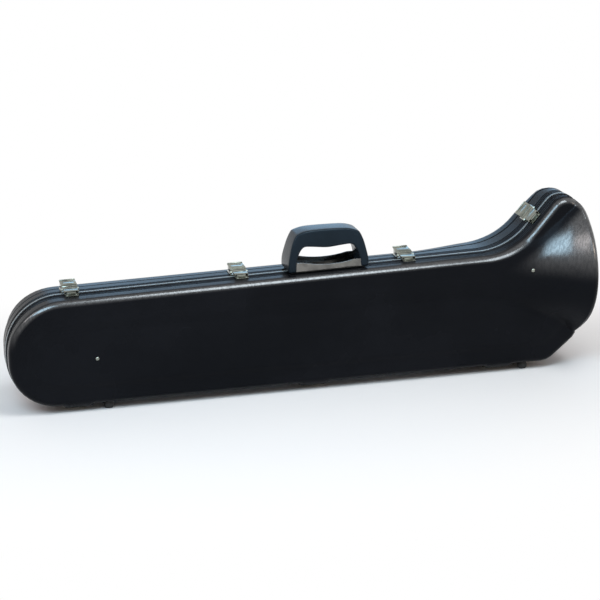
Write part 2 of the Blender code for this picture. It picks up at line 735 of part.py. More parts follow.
def make_liner(name, side, blocks):
    """Plush-covered blocks that fill a shell end to end, hollowed for what they carry."""
    insets = (LINER_INSET, WALL + LINER_SLACK, WALL + 2 * LINER_SLACK)
    rings = [(ring(insets[0] + DRAFT), np.full(len(LOOP), LINER_RECESS))]
    rings += edge_rings(side, (0.0, pi / 4, pi / 2), insets)
    points, faces = skin(rings, side, insets)
    faces.append(tuple(range(len(LOOP))))
    for word, start, end, hollows in blocks:
        made = closed_object(f"{name}_{word}", points, faces, PLUSH)
        made.modifiers.new("triangles", "TRIANGULATE").quad_method = "FIXED"
        cut(made, *hollows)
        if start is not None:
            low, high = (-CASE_LENGTH, -CASE_LENGTH, -CASE_LENGTH), (start + GAP / 2, CASE_LENGTH, CASE_LENGTH)
            cut(made, box(f"{made.name}_before", low, high, PLUSH, cutter=True))
        if end is not None:
            low, high = (end - GAP / 2, -CASE_LENGTH, -CASE_LENGTH), (CASE_LENGTH, CASE_LENGTH, CASE_LENGTH)
            cut(made, box(f"{made.name}_after", low, high, PLUSH, cutter=True))


# Hinges, feet and rivets

def make_hinge(number, place):
    """Butt hinge under a pad: two leaves with tabs rolled round a pin."""
    half = HINGE_LENGTH / 2
    third = HINGE_LENGTH / 6
    axis = HINGE_AXIS_Z
    top = axis + KNUCKLE_RADIUS - GAP / 2
    edge = KNUCKLE_RADIUS + GAP
    far = edge + LEAF_WIDTH
    start, end = (place - half - CUT_OVERRUN, 0, axis), (place + half + CUT_OVERRUN, 0, axis)
    room = HINGE_PIN_RADIUS + GAP
    bore = cylinder(f"hinge_{number}_bore", start, end, room, NICKEL, True, SMALL_SIDES)
    inner = third - GAP
    back = [(-half, 0.0), (-third, 0.0), (-third, edge), (third, edge), (third, 0.0), (half, 0.0),
            (half, far), (-half, far)]
    front = [(-inner, 0.0), (inner, 0.0), (inner, -edge), (half, -edge), (half, -far), (-half, -far),
             (-half, -edge), (-inner, -edge)]
    rolls = {"back": ((-half, -third), (third, half)), "front": ((-inner, inner),)}
    for word, shape in (("back", back), ("front", front)):
        outline = [(place + x, y) for x, y in shape]
        leaf = prism(f"hinge_{number}_{word}_leaf", outline, top - LEAF_THICKNESS, top, NICKEL, "Z")
        for index, (first, last) in enumerate(rolls[word]):
            start, end = (place + first + GAP / 2, 0, axis), (place + last - GAP / 2, 0, axis)
            roll = cylinder(f"{leaf.name}_roll_{index}", start, end, KNUCKLE_RADIUS, NICKEL, True)
            join(leaf, roll)
        cut(leaf, bore)
    start, end = (place - half, 0, axis), (place + half, 0, axis)
    cylinder(f"hinge_{number}_pin", start, end, HINGE_PIN_RADIUS, NICKEL, False, SMALL_SIDES)


# Foot profile from the shell down: shares of its radius and of its height
FOOT_SHARES = ((0, 1), (0.86, 1), (0.86, 0.82), (1, 0.70), (1, 0.16), (0.86, 0), (0, 0))


def make_foot(name, x, out):
    """Turned rubber bumper under a shell."""
    top = FLOOR_TO_SHELL - GAP
    profile = [(radius * FOOT_RADIUS, height * top) for radius, height in FOOT_SHARES]
    mesh = bpy.data.meshes.new(name)
    mesh.from_pydata([(radius, 0.0, z) for radius, z in profile],
                     list(zip(range(len(profile) - 1), range(1, len(profile)))), [])
    mesh.materials.append(FOOT_RUBBER)
    made = bpy.data.objects.new(name, mesh)
    PARTS.objects.link(made)
    made.location = (x, out, 0.0)
    turned = made.modifiers.new("turned", "SCREW")
    turned.steps = turned.render_steps = FOOT_SIDES
    turned.use_merge_vertices = True
    turned.merge_threshold = GAP / 10
    return made


def make_face_rivet(name, shell, x, height):
    """Domed rivet through the lid's face, standing square to the surface there."""
    bpy.context.view_layer.update()
    graph = bpy.context.evaluated_depsgraph_get()
    outside = Vector((x, -CASE_LENGTH, FLOOR_TO_SHELL + height))
    _, place, normal, _ = shell.ray_cast(outside, Vector((0.0, 1.0, 0.0)), depsgraph=graph)
    base = place + normal * (2 * GAP)
    return cylinder(name, base, base + normal * RIVET_RISE, RIVET_RADIUS, NICKEL, sides=SMALL_SIDES,
                    end_radius=RIVET_RADIUS * RIVET_CROWN_SHARE)


# Handle

def handle_base_z():
    point, _ = on_edge_at(TOP_LEFT, HANDLE_PLACE)
    return float(point[1])


def rounded_section(depth, thickness, squareness):
    """Rounded rectangle across the handle: (along Y, along the thickness)."""
    points = []
    for step in range(SECTION_SIDES):
        angle = 2 * pi * (step + 1 / 2) / SECTION_SIDES
        c, s = cos(angle), sin(angle)
        points.append((depth / 2 * np.sign(c) * abs(c) ** (2 / squareness),
                       thickness / 2 * np.sign(s) * abs(s) ** (2 / squareness)))
    return points


# Stations from the foot to the middle of the grip: share of the turn from upright to level,
# and the squareness of the rounded section there
HANDLE_TURN_SHARES = ((0.0, 6.0), (0.0, 5.0), (0.15, 4.0), (0.48, 3.4),
                      (0.80, 3.0), (0.97, 2.8), (1.0, 2.6), (1.0, 2.6))
# The two bends of a shoulder, as shares of the rise from the leg to the top
BEND_SHARES = ((0.28, 0.66), (1.0, 0.95))
# Where the grip has thickened on its way to the middle, as shares of the half width
GRIP_SHARES = (0.62, 0.30)


def handle_stations():
    """Centre, depth and thickness along half of the handle, from its foot to the middle."""
    base = handle_base_z()
    foot_x = HANDLE_LENGTH / 2 - HANDLE_LEG_THICKNESS / 2
    shoulder_x = HANDLE_TOP_LENGTH / 2 - HANDLE_LEG_THICKNESS / 2
    low_z = base + HANDLE_FOOT_RISE
    top_z = base + HANDLE_HEIGHT - HANDLE_SHOULDER_THICKNESS / 2 - HANDLE_TOP_FALL
    grip_z = base + HANDLE_HEIGHT - HANDLE_GRIP_THICKNESS / 2
    leg_z = base + HANDLE_HEIGHT - HANDLE_SHOULDER_THICKNESS
    bend = top_z - leg_z
    middle_depth = (HANDLE_FOOT_DEPTH + HANDLE_SHOULDER_DEPTH) / 2
    middle_thickness = (HANDLE_SHOULDER_THICKNESS + HANDLE_GRIP_THICKNESS) / 2
    grip_depth = (HANDLE_SHOULDER_DEPTH + HANDLE_GRIP_DEPTH) / 2
    first, second = BEND_SHARES
    return [
        (foot_x, low_z, HANDLE_FOOT_DEPTH, HANDLE_LEG_THICKNESS),
        ((foot_x + shoulder_x) / 2, (low_z + leg_z) / 2, middle_depth, HANDLE_LEG_THICKNESS),
        (shoulder_x, leg_z, HANDLE_SHOULDER_DEPTH, HANDLE_LEG_THICKNESS),
        (shoulder_x - bend * first[0], leg_z + bend * first[1], HANDLE_SHOULDER_DEPTH,
         HANDLE_SHOULDER_THICKNESS),
        (shoulder_x - bend * second[0], leg_z + bend * second[1], grip_depth, HANDLE_SHOULDER_THICKNESS),
        (shoulder_x * GRIP_SHARES[0], (top_z + grip_z) / 2, HANDLE_GRIP_DEPTH, middle_thickness),
        (shoulder_x * GRIP_SHARES[1], grip_z, HANDLE_GRIP_DEPTH, HANDLE_GRIP_THICKNESS),
        (0.0, grip_z, HANDLE_GRIP_DEPTH, HANDLE_GRIP_THICKNESS),
    ]


def make_handle(slope):
    """Moulded grip on two legs: a loft of rounded sections, mirrored about its middle."""
    half = list(zip(handle_stations(), HANDLE_TURN_SHARES))
    stations = [(-1, row) for row in half] + [(1, row) for row in half[-2::-1]]
    points, faces = [], []
    for level, (side, ((x, z, depth, thickness), (share, square))) in enumerate(stations):
        # The section lies flat in a leg, where its foot follows the shell, and stands in the grip
        tilt = pi / 2 * share
        if level in (0, len(stations) - 1):
            z += slope * side * x
        for y, t in rounded_section(depth, thickness, square):
            out = side * (x + cos(tilt) * t)
            points.append((HANDLE_PLACE + out, HANDLE_OFFSET + y, z + sin(tilt) * t))
    for level in range(len(stations) - 1):
        for i in range(SECTION_SIDES):
            j = (i + 1) % SECTION_SIDES
            low, high = level * SECTION_SIDES, (level + 1) * SECTION_SIDES
            faces.append((low + i, low + j, high + j, high + i))
    faces.append(tuple(range(SECTION_SIDES)))
    last = (len(stations) - 1) * SECTION_SIDES
    faces.append(tuple(range(last, last + SECTION_SIDES))[::-1])
    handle = closed_object("handle", points, faces, HANDLE_BLACK)
    smooth(handle)
    return handle


def make_bracket(base, slope):
    """Nickel channel under the handle: a web over the seam and two walls with dipped tops."""
    half_width = HANDLE_FOOT_DEPTH / 2 - POCKET_WALL - GAP
    half_length = HANDLE_LENGTH / 2 - BRACKET_END_INSET
    waist = half_length - HANDLE_LEG_THICKNESS
    rest = BAND_PROUD + GAP
    left, right = HANDLE_PLACE - half_length, HANDLE_PLACE + half_length
    left_z, right_z = base - slope * half_length + rest, base + slope * half_length + rest
    outline = [(left, left_z), (right, right_z), (right, base + BRACKET_END_HEIGHT)]
    for step in range(DIP_STEPS + 1):
        along = waist - 2 * waist * step / DIP_STEPS
        dip = (BRACKET_END_HEIGHT - BRACKET_WAIST_HEIGHT) * (1 - (along / waist) ** 2)
        outline.append((HANDLE_PLACE + along, base + BRACKET_END_HEIGHT - dip))
    outline.append((left, base + BRACKET_END_HEIGHT))
    web_outline = [(left, left_z), (right, right_z), (right, right_z + BRACKET_THICKNESS),
                   (left, left_z + BRACKET_THICKNESS)]
    inside = half_width - BRACKET_THICKNESS / 2
    low, high = HANDLE_OFFSET - inside, HANDLE_OFFSET + inside
    bracket = prism("handle_bracket", web_outline, low, high, NICKEL, "Y")
    for side in (-1, 1):
        low, high = sorted((side * half_width, side * (half_width - BRACKET_THICKNESS)))
        low, high = HANDLE_OFFSET + low, HANDLE_OFFSET + high
        join(bracket, prism(f"bracket_wall_{side}", outline, low, high, NICKEL, "Y", True))
    return bracket


def make_handle_set():
    base = handle_base_z()
    start, end = on_edge(TOP_LEFT, 0.0)[0], on_edge(TOP_LEFT, 1.0)[0]
    slope = (end[1] - start[1]) / (end[0] - start[0])
    handle = make_handle(slope)
    bracket = make_bracket(base, slope)
    half_width = HANDLE_FOOT_DEPTH / 2 - POCKET_WALL - GAP
    pocket_width = half_width + 2 * GAP
    pocket_top = base + BRACKET_END_HEIGHT + 2 * GAP
    pocket_half = HANDLE_LEG_THICKNESS / 2 - POCKET_WALL
    leg_x = HANDLE_LENGTH / 2 - HANDLE_LEG_THICKNESS / 2
    pin_z = base + HANDLE_PIN_RISE
    reach = HANDLE_FOOT_DEPTH / 2 - POCKET_WALL / 2
    web_top = base + slope * HANDLE_LENGTH / 2 + BAND_PROUD + GAP + BRACKET_THICKNESS
    for side, word in ((-1, "slim"), (1, "bell")):
        x = HANDLE_PLACE + side * leg_x
        low = (x - pocket_half, HANDLE_OFFSET - pocket_width, base - CUT_OVERRUN)
        high = (x + pocket_half, HANDLE_OFFSET + pocket_width, pocket_top)
        cut(handle, box(f"leg_pocket_{word}", low, high, HANDLE_BLACK, cutter=True))
        near, far = sorted((x, x - side * HANDLE_LEG_THICKNESS))
        low = (near, HANDLE_OFFSET - half_width, base - 3 * CUT_OVERRUN)
        high = (far, HANDLE_OFFSET + half_width, web_top + GAP)
        cut(handle, box(f"web_slot_{word}", low, high, HANDLE_BLACK, cutter=True))
        for face in (-1, 1):
            inner, outer = sorted((face * (half_width + GAP), face * (half_width - BRACKET_THICKNESS - GAP)))
            low = (near, HANDLE_OFFSET + inner, base - 2 * CUT_OVERRUN)
            high = (far, HANDLE_OFFSET + outer, pocket_top - GAP)
            cut(handle, box(f"wall_slot_{word}_{face}", low, high, HANDLE_BLACK, cutter=True))
        ends = [(x, HANDLE_OFFSET + sign * reach, pin_z) for sign in (-1, 1)]
        hole_ends = [(x, HANDLE_OFFSET + sign * (reach + GAP), pin_z) for sign in (-1, 1)]
        hole = cylinder(f"pin_hole_{word}", *hole_ends, HANDLE_PIN_RADIUS + GAP, NICKEL, cutter=True)
        cut(handle, hole)
        cut(bracket, hole)
        cylinder(f"handle_pin_{word}", *ends, HANDLE_PIN_RADIUS, NICKEL)


# Latches

def latch_frame(point, normal):
    """Frame on the outline: X along the seam, Y across the case, Z out of the surface."""
    out = Vector((normal[0], 0.0, normal[1]))
    across = Vector((0.0, 1.0, 0.0))
    along = across.cross(out)
    turn = Matrix((along, across, out)).transposed().to_4x4()
    return Matrix.Translation((point[0], 0.0, point[1])) @ turn


def sheet_outline(line, thickness):
    """Both faces of a bent sheet, from the line of its middle."""
    line = list(map(Vector, line))
    upper, lower = [], []
    for i, point in enumerate(line):
        before = line[max(i - 1, 0)]
        after = line[min(i + 1, len(line) - 1)]
        run = (after - before).normalized()
        side = Vector((-run.y, run.x)) * thickness / 2
        upper.append(tuple(point + side))
        lower.append(tuple(point - side))
    return upper + lower[::-1]


# Latch shapes as shares of the eye's radius round a pin or of the sheet's thickness
EAR_FOOT_SHARE = 1.6
EAR_SHARES = ((1, 0.5), (0.5, 1), (-0.5, 1), (-1, 0.5))
CHEEK_TURN_SHARES = (1 / 3, 11 / 24, 7 / 12, 17 / 24, 5 / 6)
CHEEK_SHARES = ((1.3, -0.2), (1.8, 0.9))
CHEEK_END_SHARES = (-0.3, 0.7)
ROOF_SHARE = 0.9
ROOF_SLOPE_SHARE = 0.3
PLATE_START_SHARES = (0.4, 0.2)
PLATE_END_SHARE = 0.6
ROLL_SHARE = 0.8
TONGUE_FOOT_SHARE = 1.5


def latch_base(pivot, room):
    """Sheet foot on the back shell with two ears that carry the lever's pin."""
    half = LATCH_WIDTH / 2
    t = PLATE_THICKNESS
    eye = room + t
    base = box("latch_base", (-half, BASE_START, GAP), (half, BASE_END, GAP + t), NICKEL)
    shape = [(pivot.y - eye, GAP), (pivot.y + eye * EAR_FOOT_SHARE, GAP)]
    shape += [(pivot.y + eye * along, pivot.z + eye * rise) for along, rise in EAR_SHARES]
    for side in (-1, 1):
        low, high = sorted((side * half, side * (half - t)))
        join(base, prism(f"latch_ear_{side}", shape, low, high, NICKEL, cutter=True))
    return base


def latch_lever(pivot, draw, room, cheek):
    """Two cheeks on the pivot, a roof over them and a tab turned up for the finger."""
    t = PLATE_THICKNESS
    eye = room + t
    roof_y, roof_z = draw.y + room + t / 2, draw.z + eye * ROOF_SHARE
    line = [(roof_y, roof_z), (BASE_END - t, roof_z + t * ROOF_SLOPE_SHARE),
            (LEVER_TAB_REACH - t, LEVER_TAB_RISE - t), (LEVER_TAB_REACH, LEVER_TAB_RISE)]
    lever = prism("latch_lever", sheet_outline(line, t), -cheek - t, cheek + t, NICKEL)
    shape = []
    for share in CHEEK_TURN_SHARES:
        angle = 2 * pi * share
        shape.append((pivot.y + eye * cos(angle), pivot.z + eye * sin(angle)))
    shape += [(draw.y + eye * along, draw.z + eye * rise) for along, rise in CHEEK_SHARES]
    along, rise = CHEEK_END_SHARES
    shape += [(roof_y, roof_z), (draw.y + eye * along, draw.z + eye * rise)]
    for side in (-1, 1):
        low, high = sorted((side * (cheek + t), side * cheek))
        join(lever, prism(f"latch_cheek_{side}", shape, low, high, NICKEL, cutter=True))
    start, end = (-cheek - t / 2, draw.y, draw.z), (cheek + t / 2, draw.y, draw.z)
    join(lever, cylinder("latch_draw_pin", start, end, LATCH_PIN_RADIUS, NICKEL, True, SMALL_SIDES))
    return lever


def latch_draw_plate(draw, room, plate_half):
    """A rolled eye on the draw pin, two rails and a bar that hooks the keeper."""
    t = PLATE_THICKNESS
    bar_y, bar_z = -DRAW_BAR_OUT, DRAW_BAR_RISE + t / 2
    window_y = bar_y + DRAW_BAR_WIDTH + DRAW_WINDOW
    back, rise = PLATE_START_SHARES
    line = [(draw.y - room - t * back, draw.z + t * rise), (LEVER_PIVOT_OUT - room - t, draw.z - t),
            (window_y, bar_z + t * PLATE_END_SHARE), (bar_y + DRAW_BAR_WIDTH, bar_z), (bar_y, bar_z)]
    plate = prism("latch_draw_plate", sheet_outline(line, t), -plate_half, plate_half, NICKEL)
    start, end = (-plate_half, draw.y, draw.z), (plate_half, draw.y, draw.z)
    radius = room + t * ROLL_SHARE
    join(plate, cylinder("latch_roll", start, end, radius, NICKEL, True, SMALL_SIDES))
    start, end = (-LATCH_WIDTH / 2, draw.y, draw.z), (LATCH_WIDTH / 2, draw.y, draw.z)
    bore = cylinder("latch_roll_bore", start, end, room, NICKEL, True, SMALL_SIDES)
    low = (-plate_half + DRAW_RAIL, bar_y + DRAW_BAR_WIDTH, 0.0)
    high = (plate_half - DRAW_RAIL, window_y, LEVER_TAB_RISE)
    cut(plate, bore, box("latch_window", low, high, NICKEL, cutter=True))
    return plate


def latch_keeper(plate_half):
    """A foot on the lid with a tongue standing in the draw plate's window."""
    t = PLATE_THICKNESS
    half = KEEPER_WIDTH / 2
    keeper = box("latch_keeper", (-half, -KEEPER_END, GAP), (half, -BASE_START, GAP + t), NICKEL)
    near = DRAW_BAR_WIDTH + GAP - DRAW_BAR_OUT
    top = DRAW_BAR_RISE + t / 2 + KEEPER_TONGUE_RISE
    shape = [(near, GAP), (near + t * TONGUE_FOOT_SHARE, GAP), (near + t, top), (near, top)]
    reach = plate_half - DRAW_RAIL - 2 * GAP
    join(keeper, prism("latch_tongue", shape, -reach, reach, NICKEL, cutter=True))
    return keeper


def latch_pieces():
    """One latch at the origin: base, lever, draw plate, keeper and pin, each with its pivot."""
    half = LATCH_WIDTH / 2
    cheek = half - 2 * PLATE_THICKNESS - GAP
    pivot = Vector((0.0, LEVER_PIVOT_OUT, LEVER_PIVOT_RISE))
    draw = pivot + Vector((0.0, DRAW_PIVOT_OUT, DRAW_PIVOT_RISE))
    room = LATCH_PIN_RADIUS + GAP
    base = latch_base(pivot, room)
    lever = latch_lever(pivot, draw, room, cheek)
    start, end = (-half - CUT_OVERRUN, pivot.y, pivot.z), (half + CUT_OVERRUN, pivot.y, pivot.z)
    bore = cylinder("latch_bore", start, end, room, NICKEL, True, SMALL_SIDES)
    cut(base, bore)
    cut(lever, bore)
    plate = latch_draw_plate(draw, room, cheek - GAP)
    keeper = latch_keeper(cheek - GAP)
    start, end = (-half, pivot.y, pivot.z), (half, pivot.y, pivot.z)
    pin = cylinder("latch_pin", start, end, LATCH_PIN_RADIUS, NICKEL, False, SMALL_SIDES)
    origin = Vector((0.0, 0.0, 0.0))
    return [("base", base, origin), ("lever", lever, pivot), ("draw_plate", plate, draw),
            ("keeper", keeper, origin), ("pin", pin, pivot)]


def make_latches():
    frames = [latch_frame(*on_edge_at(TOP_LEFT, x)) for x in LATCH_PLACES]
    frames.append(latch_frame(*on_edge(FLARE_FOOT, FLARE_LATCH_SHARE)))
    for word, pattern, pivot in latch_pieces():
        mesh = bake(pattern)
        mesh.transform(Matrix.Translation(-pivot))
        for number, frame in enumerate(frames, start=1):
            copy = bpy.data.objects.new(f"latch_{number}_{word}", mesh)
            PARTS.objects.link(copy)
            copy.matrix_world = frame @ Matrix.Translation(pivot)
        bpy.data.objects.remove(pattern)


# Slide holders in the lid

def make_slide_holder(number, x):
    """Grooved block on the lid's insert with a turning clip over the slide's two tubes."""
    floor = -(LINER_RECESS + SLIDE_TRAY_DEPTH) + GAP
    top = floor + BLOCK_DEPTH
    middle = FLOOR_TO_SHELL + SLIDE_TRAY_BOTTOM + SLIDE_TRAY_HEIGHT / 2
    low = (x - BLOCK_LENGTH / 2, floor, middle - BLOCK_HEIGHT / 2)
    high = (x + BLOCK_LENGTH / 2, top, middle + BLOCK_HEIGHT / 2)
    block = box(f"slide_block_{number}", low, high, BLOCK_WOOD)
    for side in (-1, 1):
        z = middle + side * GROOVE_SPACING / 2
        start, end = (x - BLOCK_LENGTH, top, z), (x + BLOCK_LENGTH, top, z)
        name = f"groove_{number}_{side}"
        groove = cylinder(name, start, end, GROOVE_RADIUS, BLOCK_WOOD, True, SECTION_SIDES)
        cut(block, groove)
    clip_low = top + GAP
    clip_top = clip_low + CLIP_THICKNESS
    outline = []
    end = CLIP_LENGTH / 2 - CLIP_WIDTH / 2
    for side in (1, -1):
        for step in range(CLIP_STEPS + 1):
            angle = pi * step / CLIP_STEPS
            across = side * CLIP_WIDTH / 2 * cos(angle)
            up = side * (end + CLIP_WIDTH / 2 * sin(angle))
            outline.append((x + across, middle + up))
    clip = prism(f"slide_clip_{number}", outline, clip_low, clip_top, NICKEL, axis="Y")
    deep = top - BLOCK_DEPTH / 2
    room = CLIP_SCREW_RADIUS + GAP
    start, end = (x, deep, middle), (x, clip_top + CUT_OVERRUN, middle)
    hole = cylinder(f"clip_hole_{number}", start, end, room, NICKEL, cutter=True)
    cut(clip, hole)
    cut(block, hole)
    start, end = (x, deep + GAP, middle), (x, clip_top + 2 * GAP, middle)
    screw = cylinder(f"clip_screw_{number}", start, end, CLIP_SCREW_RADIUS, NICKEL)
    start, end = (x, clip_top + GAP, middle), (x, clip_top + GAP + CLIP_SCREW_RISE, middle)
    join(screw, cylinder(f"clip_screw_head_{number}", start, end, CLIP_SCREW_HEAD, NICKEL, cutter=True))


# Build

def hang_on(axis_name, place, names):
    """Parent pieces to an empty on their joint's axis, leaving them where they are."""
    axis = bpy.data.objects.new(axis_name, None)
    PARTS.objects.link(axis)
    axis.location = place
    bpy.context.view_layer.update()
    for name in names:
        piece = bpy.data.objects[name]
        piece.parent = axis
        piece.matrix_parent_inverse = axis.matrix_world.inverted()


def stand_on_middle():
    """Shift the case, built about its seam, so that its middle plane stands at Y = 0."""
    middle = bpy.data.objects.new("case_middle", None)
    PARTS.objects.link(middle)
    middle.location = (0.0, -SEAM_OFFSET, 0.0)
    for item in list(PARTS.objects) + list(CUTTERS.objects):
        if item.parent is None and item is not middle:
            item.parent = middle


def build():
    make_shell("back_shell", 1)
    lid_shell = make_shell("front_shell", -1)
    make_tongue()
    bell = bell_cavity("bell_cavity")
    box_tray = rounded_tray("accessory_box", BOX_LEFT, BOX_LENGTH, BOX_BOTTOM, BOX_HEIGHT, 1, BOX_DEPTH)
    neck_tray = rounded_tray("neck_tray", NECK_TRAY_LEFT, NECK_TRAY_LENGTH, NECK_TRAY_BOTTOM,
                             NECK_TRAY_HEIGHT, 1, NECK_TRAY_DEPTH)
    slide_tray = rounded_tray("slide_tray", SLIDE_TRAY_LEFT, SLIDE_TRAY_LENGTH, SLIDE_TRAY_BOTTOM,
                              SLIDE_TRAY_HEIGHT, -1, SLIDE_TRAY_DEPTH)
    make_liner("back_liner", 1, (("slim", None, SLIM_BLOCK_END, (box_tray,)),
                                 ("neck", SLIM_BLOCK_END, BACK_BLOCK_START, (neck_tray, bell)),
                                 ("bell", BACK_BLOCK_START, None, (bell,))))
    make_liner("front_liner", -1, (("slide", None, FRONT_BLOCK_START, (slide_tray, bell)),
                                   ("bell", FRONT_BLOCK_START, None, (bell,))))
    for number, place in enumerate(PAD_PLACES, start=1):
        make_hinge(number, place)
    for number, place in enumerate(FOOT_PLACES, start=1):
        make_foot(f"front_foot_{number}", place, -FRONT_FOOT_OUT)
        make_foot(f"back_foot_{number}", place, BACK_FOOT_OUT)
    for number, (x, height) in enumerate(FACE_RIVETS, start=1):
        make_face_rivet(f"lid_rivet_{number}", lid_shell, x, height)
    make_handle_set()
    make_latches()
    for number, x in enumerate(BLOCK_PLACES, start=1):
        make_slide_holder(number, x)
    lid = ["front_shell"]
    lid += [piece.name for piece in PARTS.objects
            if piece.name.startswith(("front_foot", "front_liner", "slide_block", "clip_screw", "lid_rivet"))
            or piece.name.endswith(("front_leaf", "keeper"))]
    hang_on("lid_hinge_axis", (0.0, 0.0, HINGE_AXIS_Z), lid)
    stand_on_middle()


build()
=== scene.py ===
import json
from math import atan2, cos, hypot, pi, radians, sin, tan

import bpy
import numpy as np
from mathutils import Matrix, Vector


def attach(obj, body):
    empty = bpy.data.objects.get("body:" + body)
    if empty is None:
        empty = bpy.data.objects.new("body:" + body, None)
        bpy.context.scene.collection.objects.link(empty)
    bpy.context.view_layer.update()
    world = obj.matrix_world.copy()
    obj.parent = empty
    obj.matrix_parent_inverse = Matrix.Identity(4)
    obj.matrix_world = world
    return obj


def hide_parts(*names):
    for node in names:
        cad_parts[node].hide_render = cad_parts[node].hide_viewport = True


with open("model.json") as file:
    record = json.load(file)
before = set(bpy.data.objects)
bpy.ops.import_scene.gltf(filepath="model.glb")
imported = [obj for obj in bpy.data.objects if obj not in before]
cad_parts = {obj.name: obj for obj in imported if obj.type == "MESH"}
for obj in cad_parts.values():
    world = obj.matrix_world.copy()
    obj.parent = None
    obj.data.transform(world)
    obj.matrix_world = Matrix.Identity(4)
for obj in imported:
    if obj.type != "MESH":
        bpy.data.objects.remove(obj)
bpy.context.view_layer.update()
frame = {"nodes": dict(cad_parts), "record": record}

# The room: a pale floor that fades into a white background, five soft lamps and the camera,
# which stands a little above the case and to the left of its middle, three metres off.
VIEW_AZIMUTH = radians(-15.28)
VIEW_HEIGHT = radians(17.76)
VIEW_DISTANCE = 3.0
VIEW_TARGET = Vector((0.0016, -0.0042, 0.1434))
LENS, SENSOR = 111.86, 36
FLOOR_SIZE = 12.0
FLOOR_COLOUR, FLOOR_ROUGHNESS, FLOOR_SPECULAR = (0.94, 0.875, 0.85, 1), 0.9, 0.1
FLOOR_FADE, FADE_STRETCH = (0.24, 0.62), (0.60, 1.0, 1.0)
WORLD_COLOUR, WORLD_STRENGTH = (1.0, 0.95, 0.90, 1), 0.33
LAMPS_FACE = Vector((0, 0, 0.15))
LAMPS = {
    "overhead": ((0.42, -0.85, 1.90), (0.9, 0.9), 20.0, (0.84, 0.94, 1.0)),
    "left": ((-0.97, -1.30, 1.66), (1.0, 1.0), 24.0, (0.56, 0.82, 1.0)),
    "side": ((-1.60, -0.60, 1.28), (0.5, 0.9), 6.0, (1.0, 0.93, 0.92)),
    "right": ((2.3, -1.2, 1.2), (0.6, 0.6), 6.0, (1.0, 0.86, 0.72)),
    "behind": ((0.82, 3.0, 1.13), (2.6, 1.0), 12.0, (0.12, 0.55, 1.0)),
}


def node_of(tree, kind, at=(0, 0), **settings):
    made = tree.nodes.new(kind)
    made.location = at
    for name, value in settings.items():
        setattr(made, name, value)
    return made


def group_of(name, inputs, outputs):
    """An empty node group with named inputs (each with its default) and outputs."""
    made = bpy.data.node_groups.new(name, "ShaderNodeTree")
    for label, value in inputs.items():
        kind = "NodeSocketColor" if isinstance(value, tuple) else "NodeSocketFloat"
        socket = made.interface.new_socket(label, in_out="INPUT", socket_type=kind)
        socket.default_value = value
    for label, kind in outputs.items():
        made.interface.new_socket(label, in_out="OUTPUT", socket_type=kind)
    return made, node_of(made, "NodeGroupInput", (-900, 0)), node_of(made, "NodeGroupOutput", (900, 0))


def placed(tree, group, at=(0, 0), **values):
    made = node_of(tree, "ShaderNodeGroup", at, node_tree=group)
    for label, value in values.items():
        made.inputs[label.replace("_", " ")].default_value = value
    return made


def ramp_of(tree, start, end, low=0.0, high=1.0, at=(0, 0)):
    made = node_of(tree, "ShaderNodeMapRange", at, interpolation_type="SMOOTHSTEP")
    for label, value in (("From Min", start), ("From Max", end), ("To Min", low), ("To Max", high)):
        made.inputs[label].default_value = value
    return made


def math_of(tree, operation, first, second, at, **settings):
    """A sum or product of two sockets."""
    made = node_of(tree, "ShaderNodeMath", at, operation=operation, **settings)
    tree.links.new(first, made.inputs[0])
    tree.links.new(second, made.inputs[1])
    return made.outputs[0]


def seen_directly(tree):
    """One for what the camera sees, also in a gloss or through a clear body, and nought for light."""
    path = node_of(tree, "ShaderNodeLightPath", (-900, -300)).outputs
    seen = math_of(tree, "ADD", path["Is Camera Ray"], path["Is Glossy Ray"], (-700, -300))
    return math_of(tree, "ADD", seen, path["Is Transmission Ray"], (-500, -300), use_clamp=True)


def blend_of(tree, share, first, second, sink):
    """Show the first shader, and the second by its share, at the end of a material or world."""
    made = node_of(tree, "ShaderNodeMixShader", (400, 0))
    for place, socket in enumerate((share, first, second)):
        tree.links.new(socket, made.inputs[place])
    tree.links.new(made.outputs["Shader"], tree.nodes[sink].inputs["Surface"])


bpy.ops.object.select_all(action="DESELECT")
bpy.ops.mesh.primitive_plane_add(size=FLOOR_SIZE, location=(0, 0, 0))
floor = bpy.context.object
floor.name = "floor"
pale = bpy.data.materials.new("pale_floor")
pale.use_nodes = True
tree = pale.node_tree
shader = tree.nodes["Principled BSDF"]
shader.inputs["Base Color"].default_value = FLOOR_COLOUR
shader.inputs["Roughness"].default_value = FLOOR_ROUGHNESS
shader.inputs["Specular IOR Level"].default_value = FLOOR_SPECULAR
here = node_of(tree, "ShaderNodeTexCoord", (-900, 0))
shrunk = node_of(tree, "ShaderNodeVectorMath", (-800, 0), operation="MULTIPLY")
shrunk.inputs[1].default_value = FADE_STRETCH
reach = node_of(tree, "ShaderNodeVectorMath", (-700, 0), operation="LENGTH")
fade = ramp_of(tree, *FLOOR_FADE, at=(-500, 0))
white = node_of(tree, "ShaderNodeEmission", (100, -300))
tree.links.new(here.outputs["Object"], shrunk.inputs[0])
tree.links.new(shrunk.outputs[0], reach.inputs[0])
tree.links.new(reach.outputs["Value"], fade.inputs["Value"])
share = math_of(tree, "MULTIPLY", seen_directly(tree), fade.outputs["Result"], (-100, -200))
blend_of(tree, share, shader.outputs["BSDF"], white.outputs["Emission"], "Material Output")
floor.data.materials.append(pale)

world = bpy.data.worlds.new("studio")
bpy.context.scene.world = world
world.use_nodes = True
tree = world.node_tree
plain = tree.nodes["Background"]
plain.inputs["Color"].default_value = WORLD_COLOUR
plain.inputs["Strength"].default_value = WORLD_STRENGTH
bright = node_of(tree, "ShaderNodeBackground", (0, -200))
bright.inputs["Color"].default_value = (1, 1, 1, 1)
blend_of(tree, seen_directly(tree), plain.outputs["Background"], bright.outputs["Background"], "World Output")

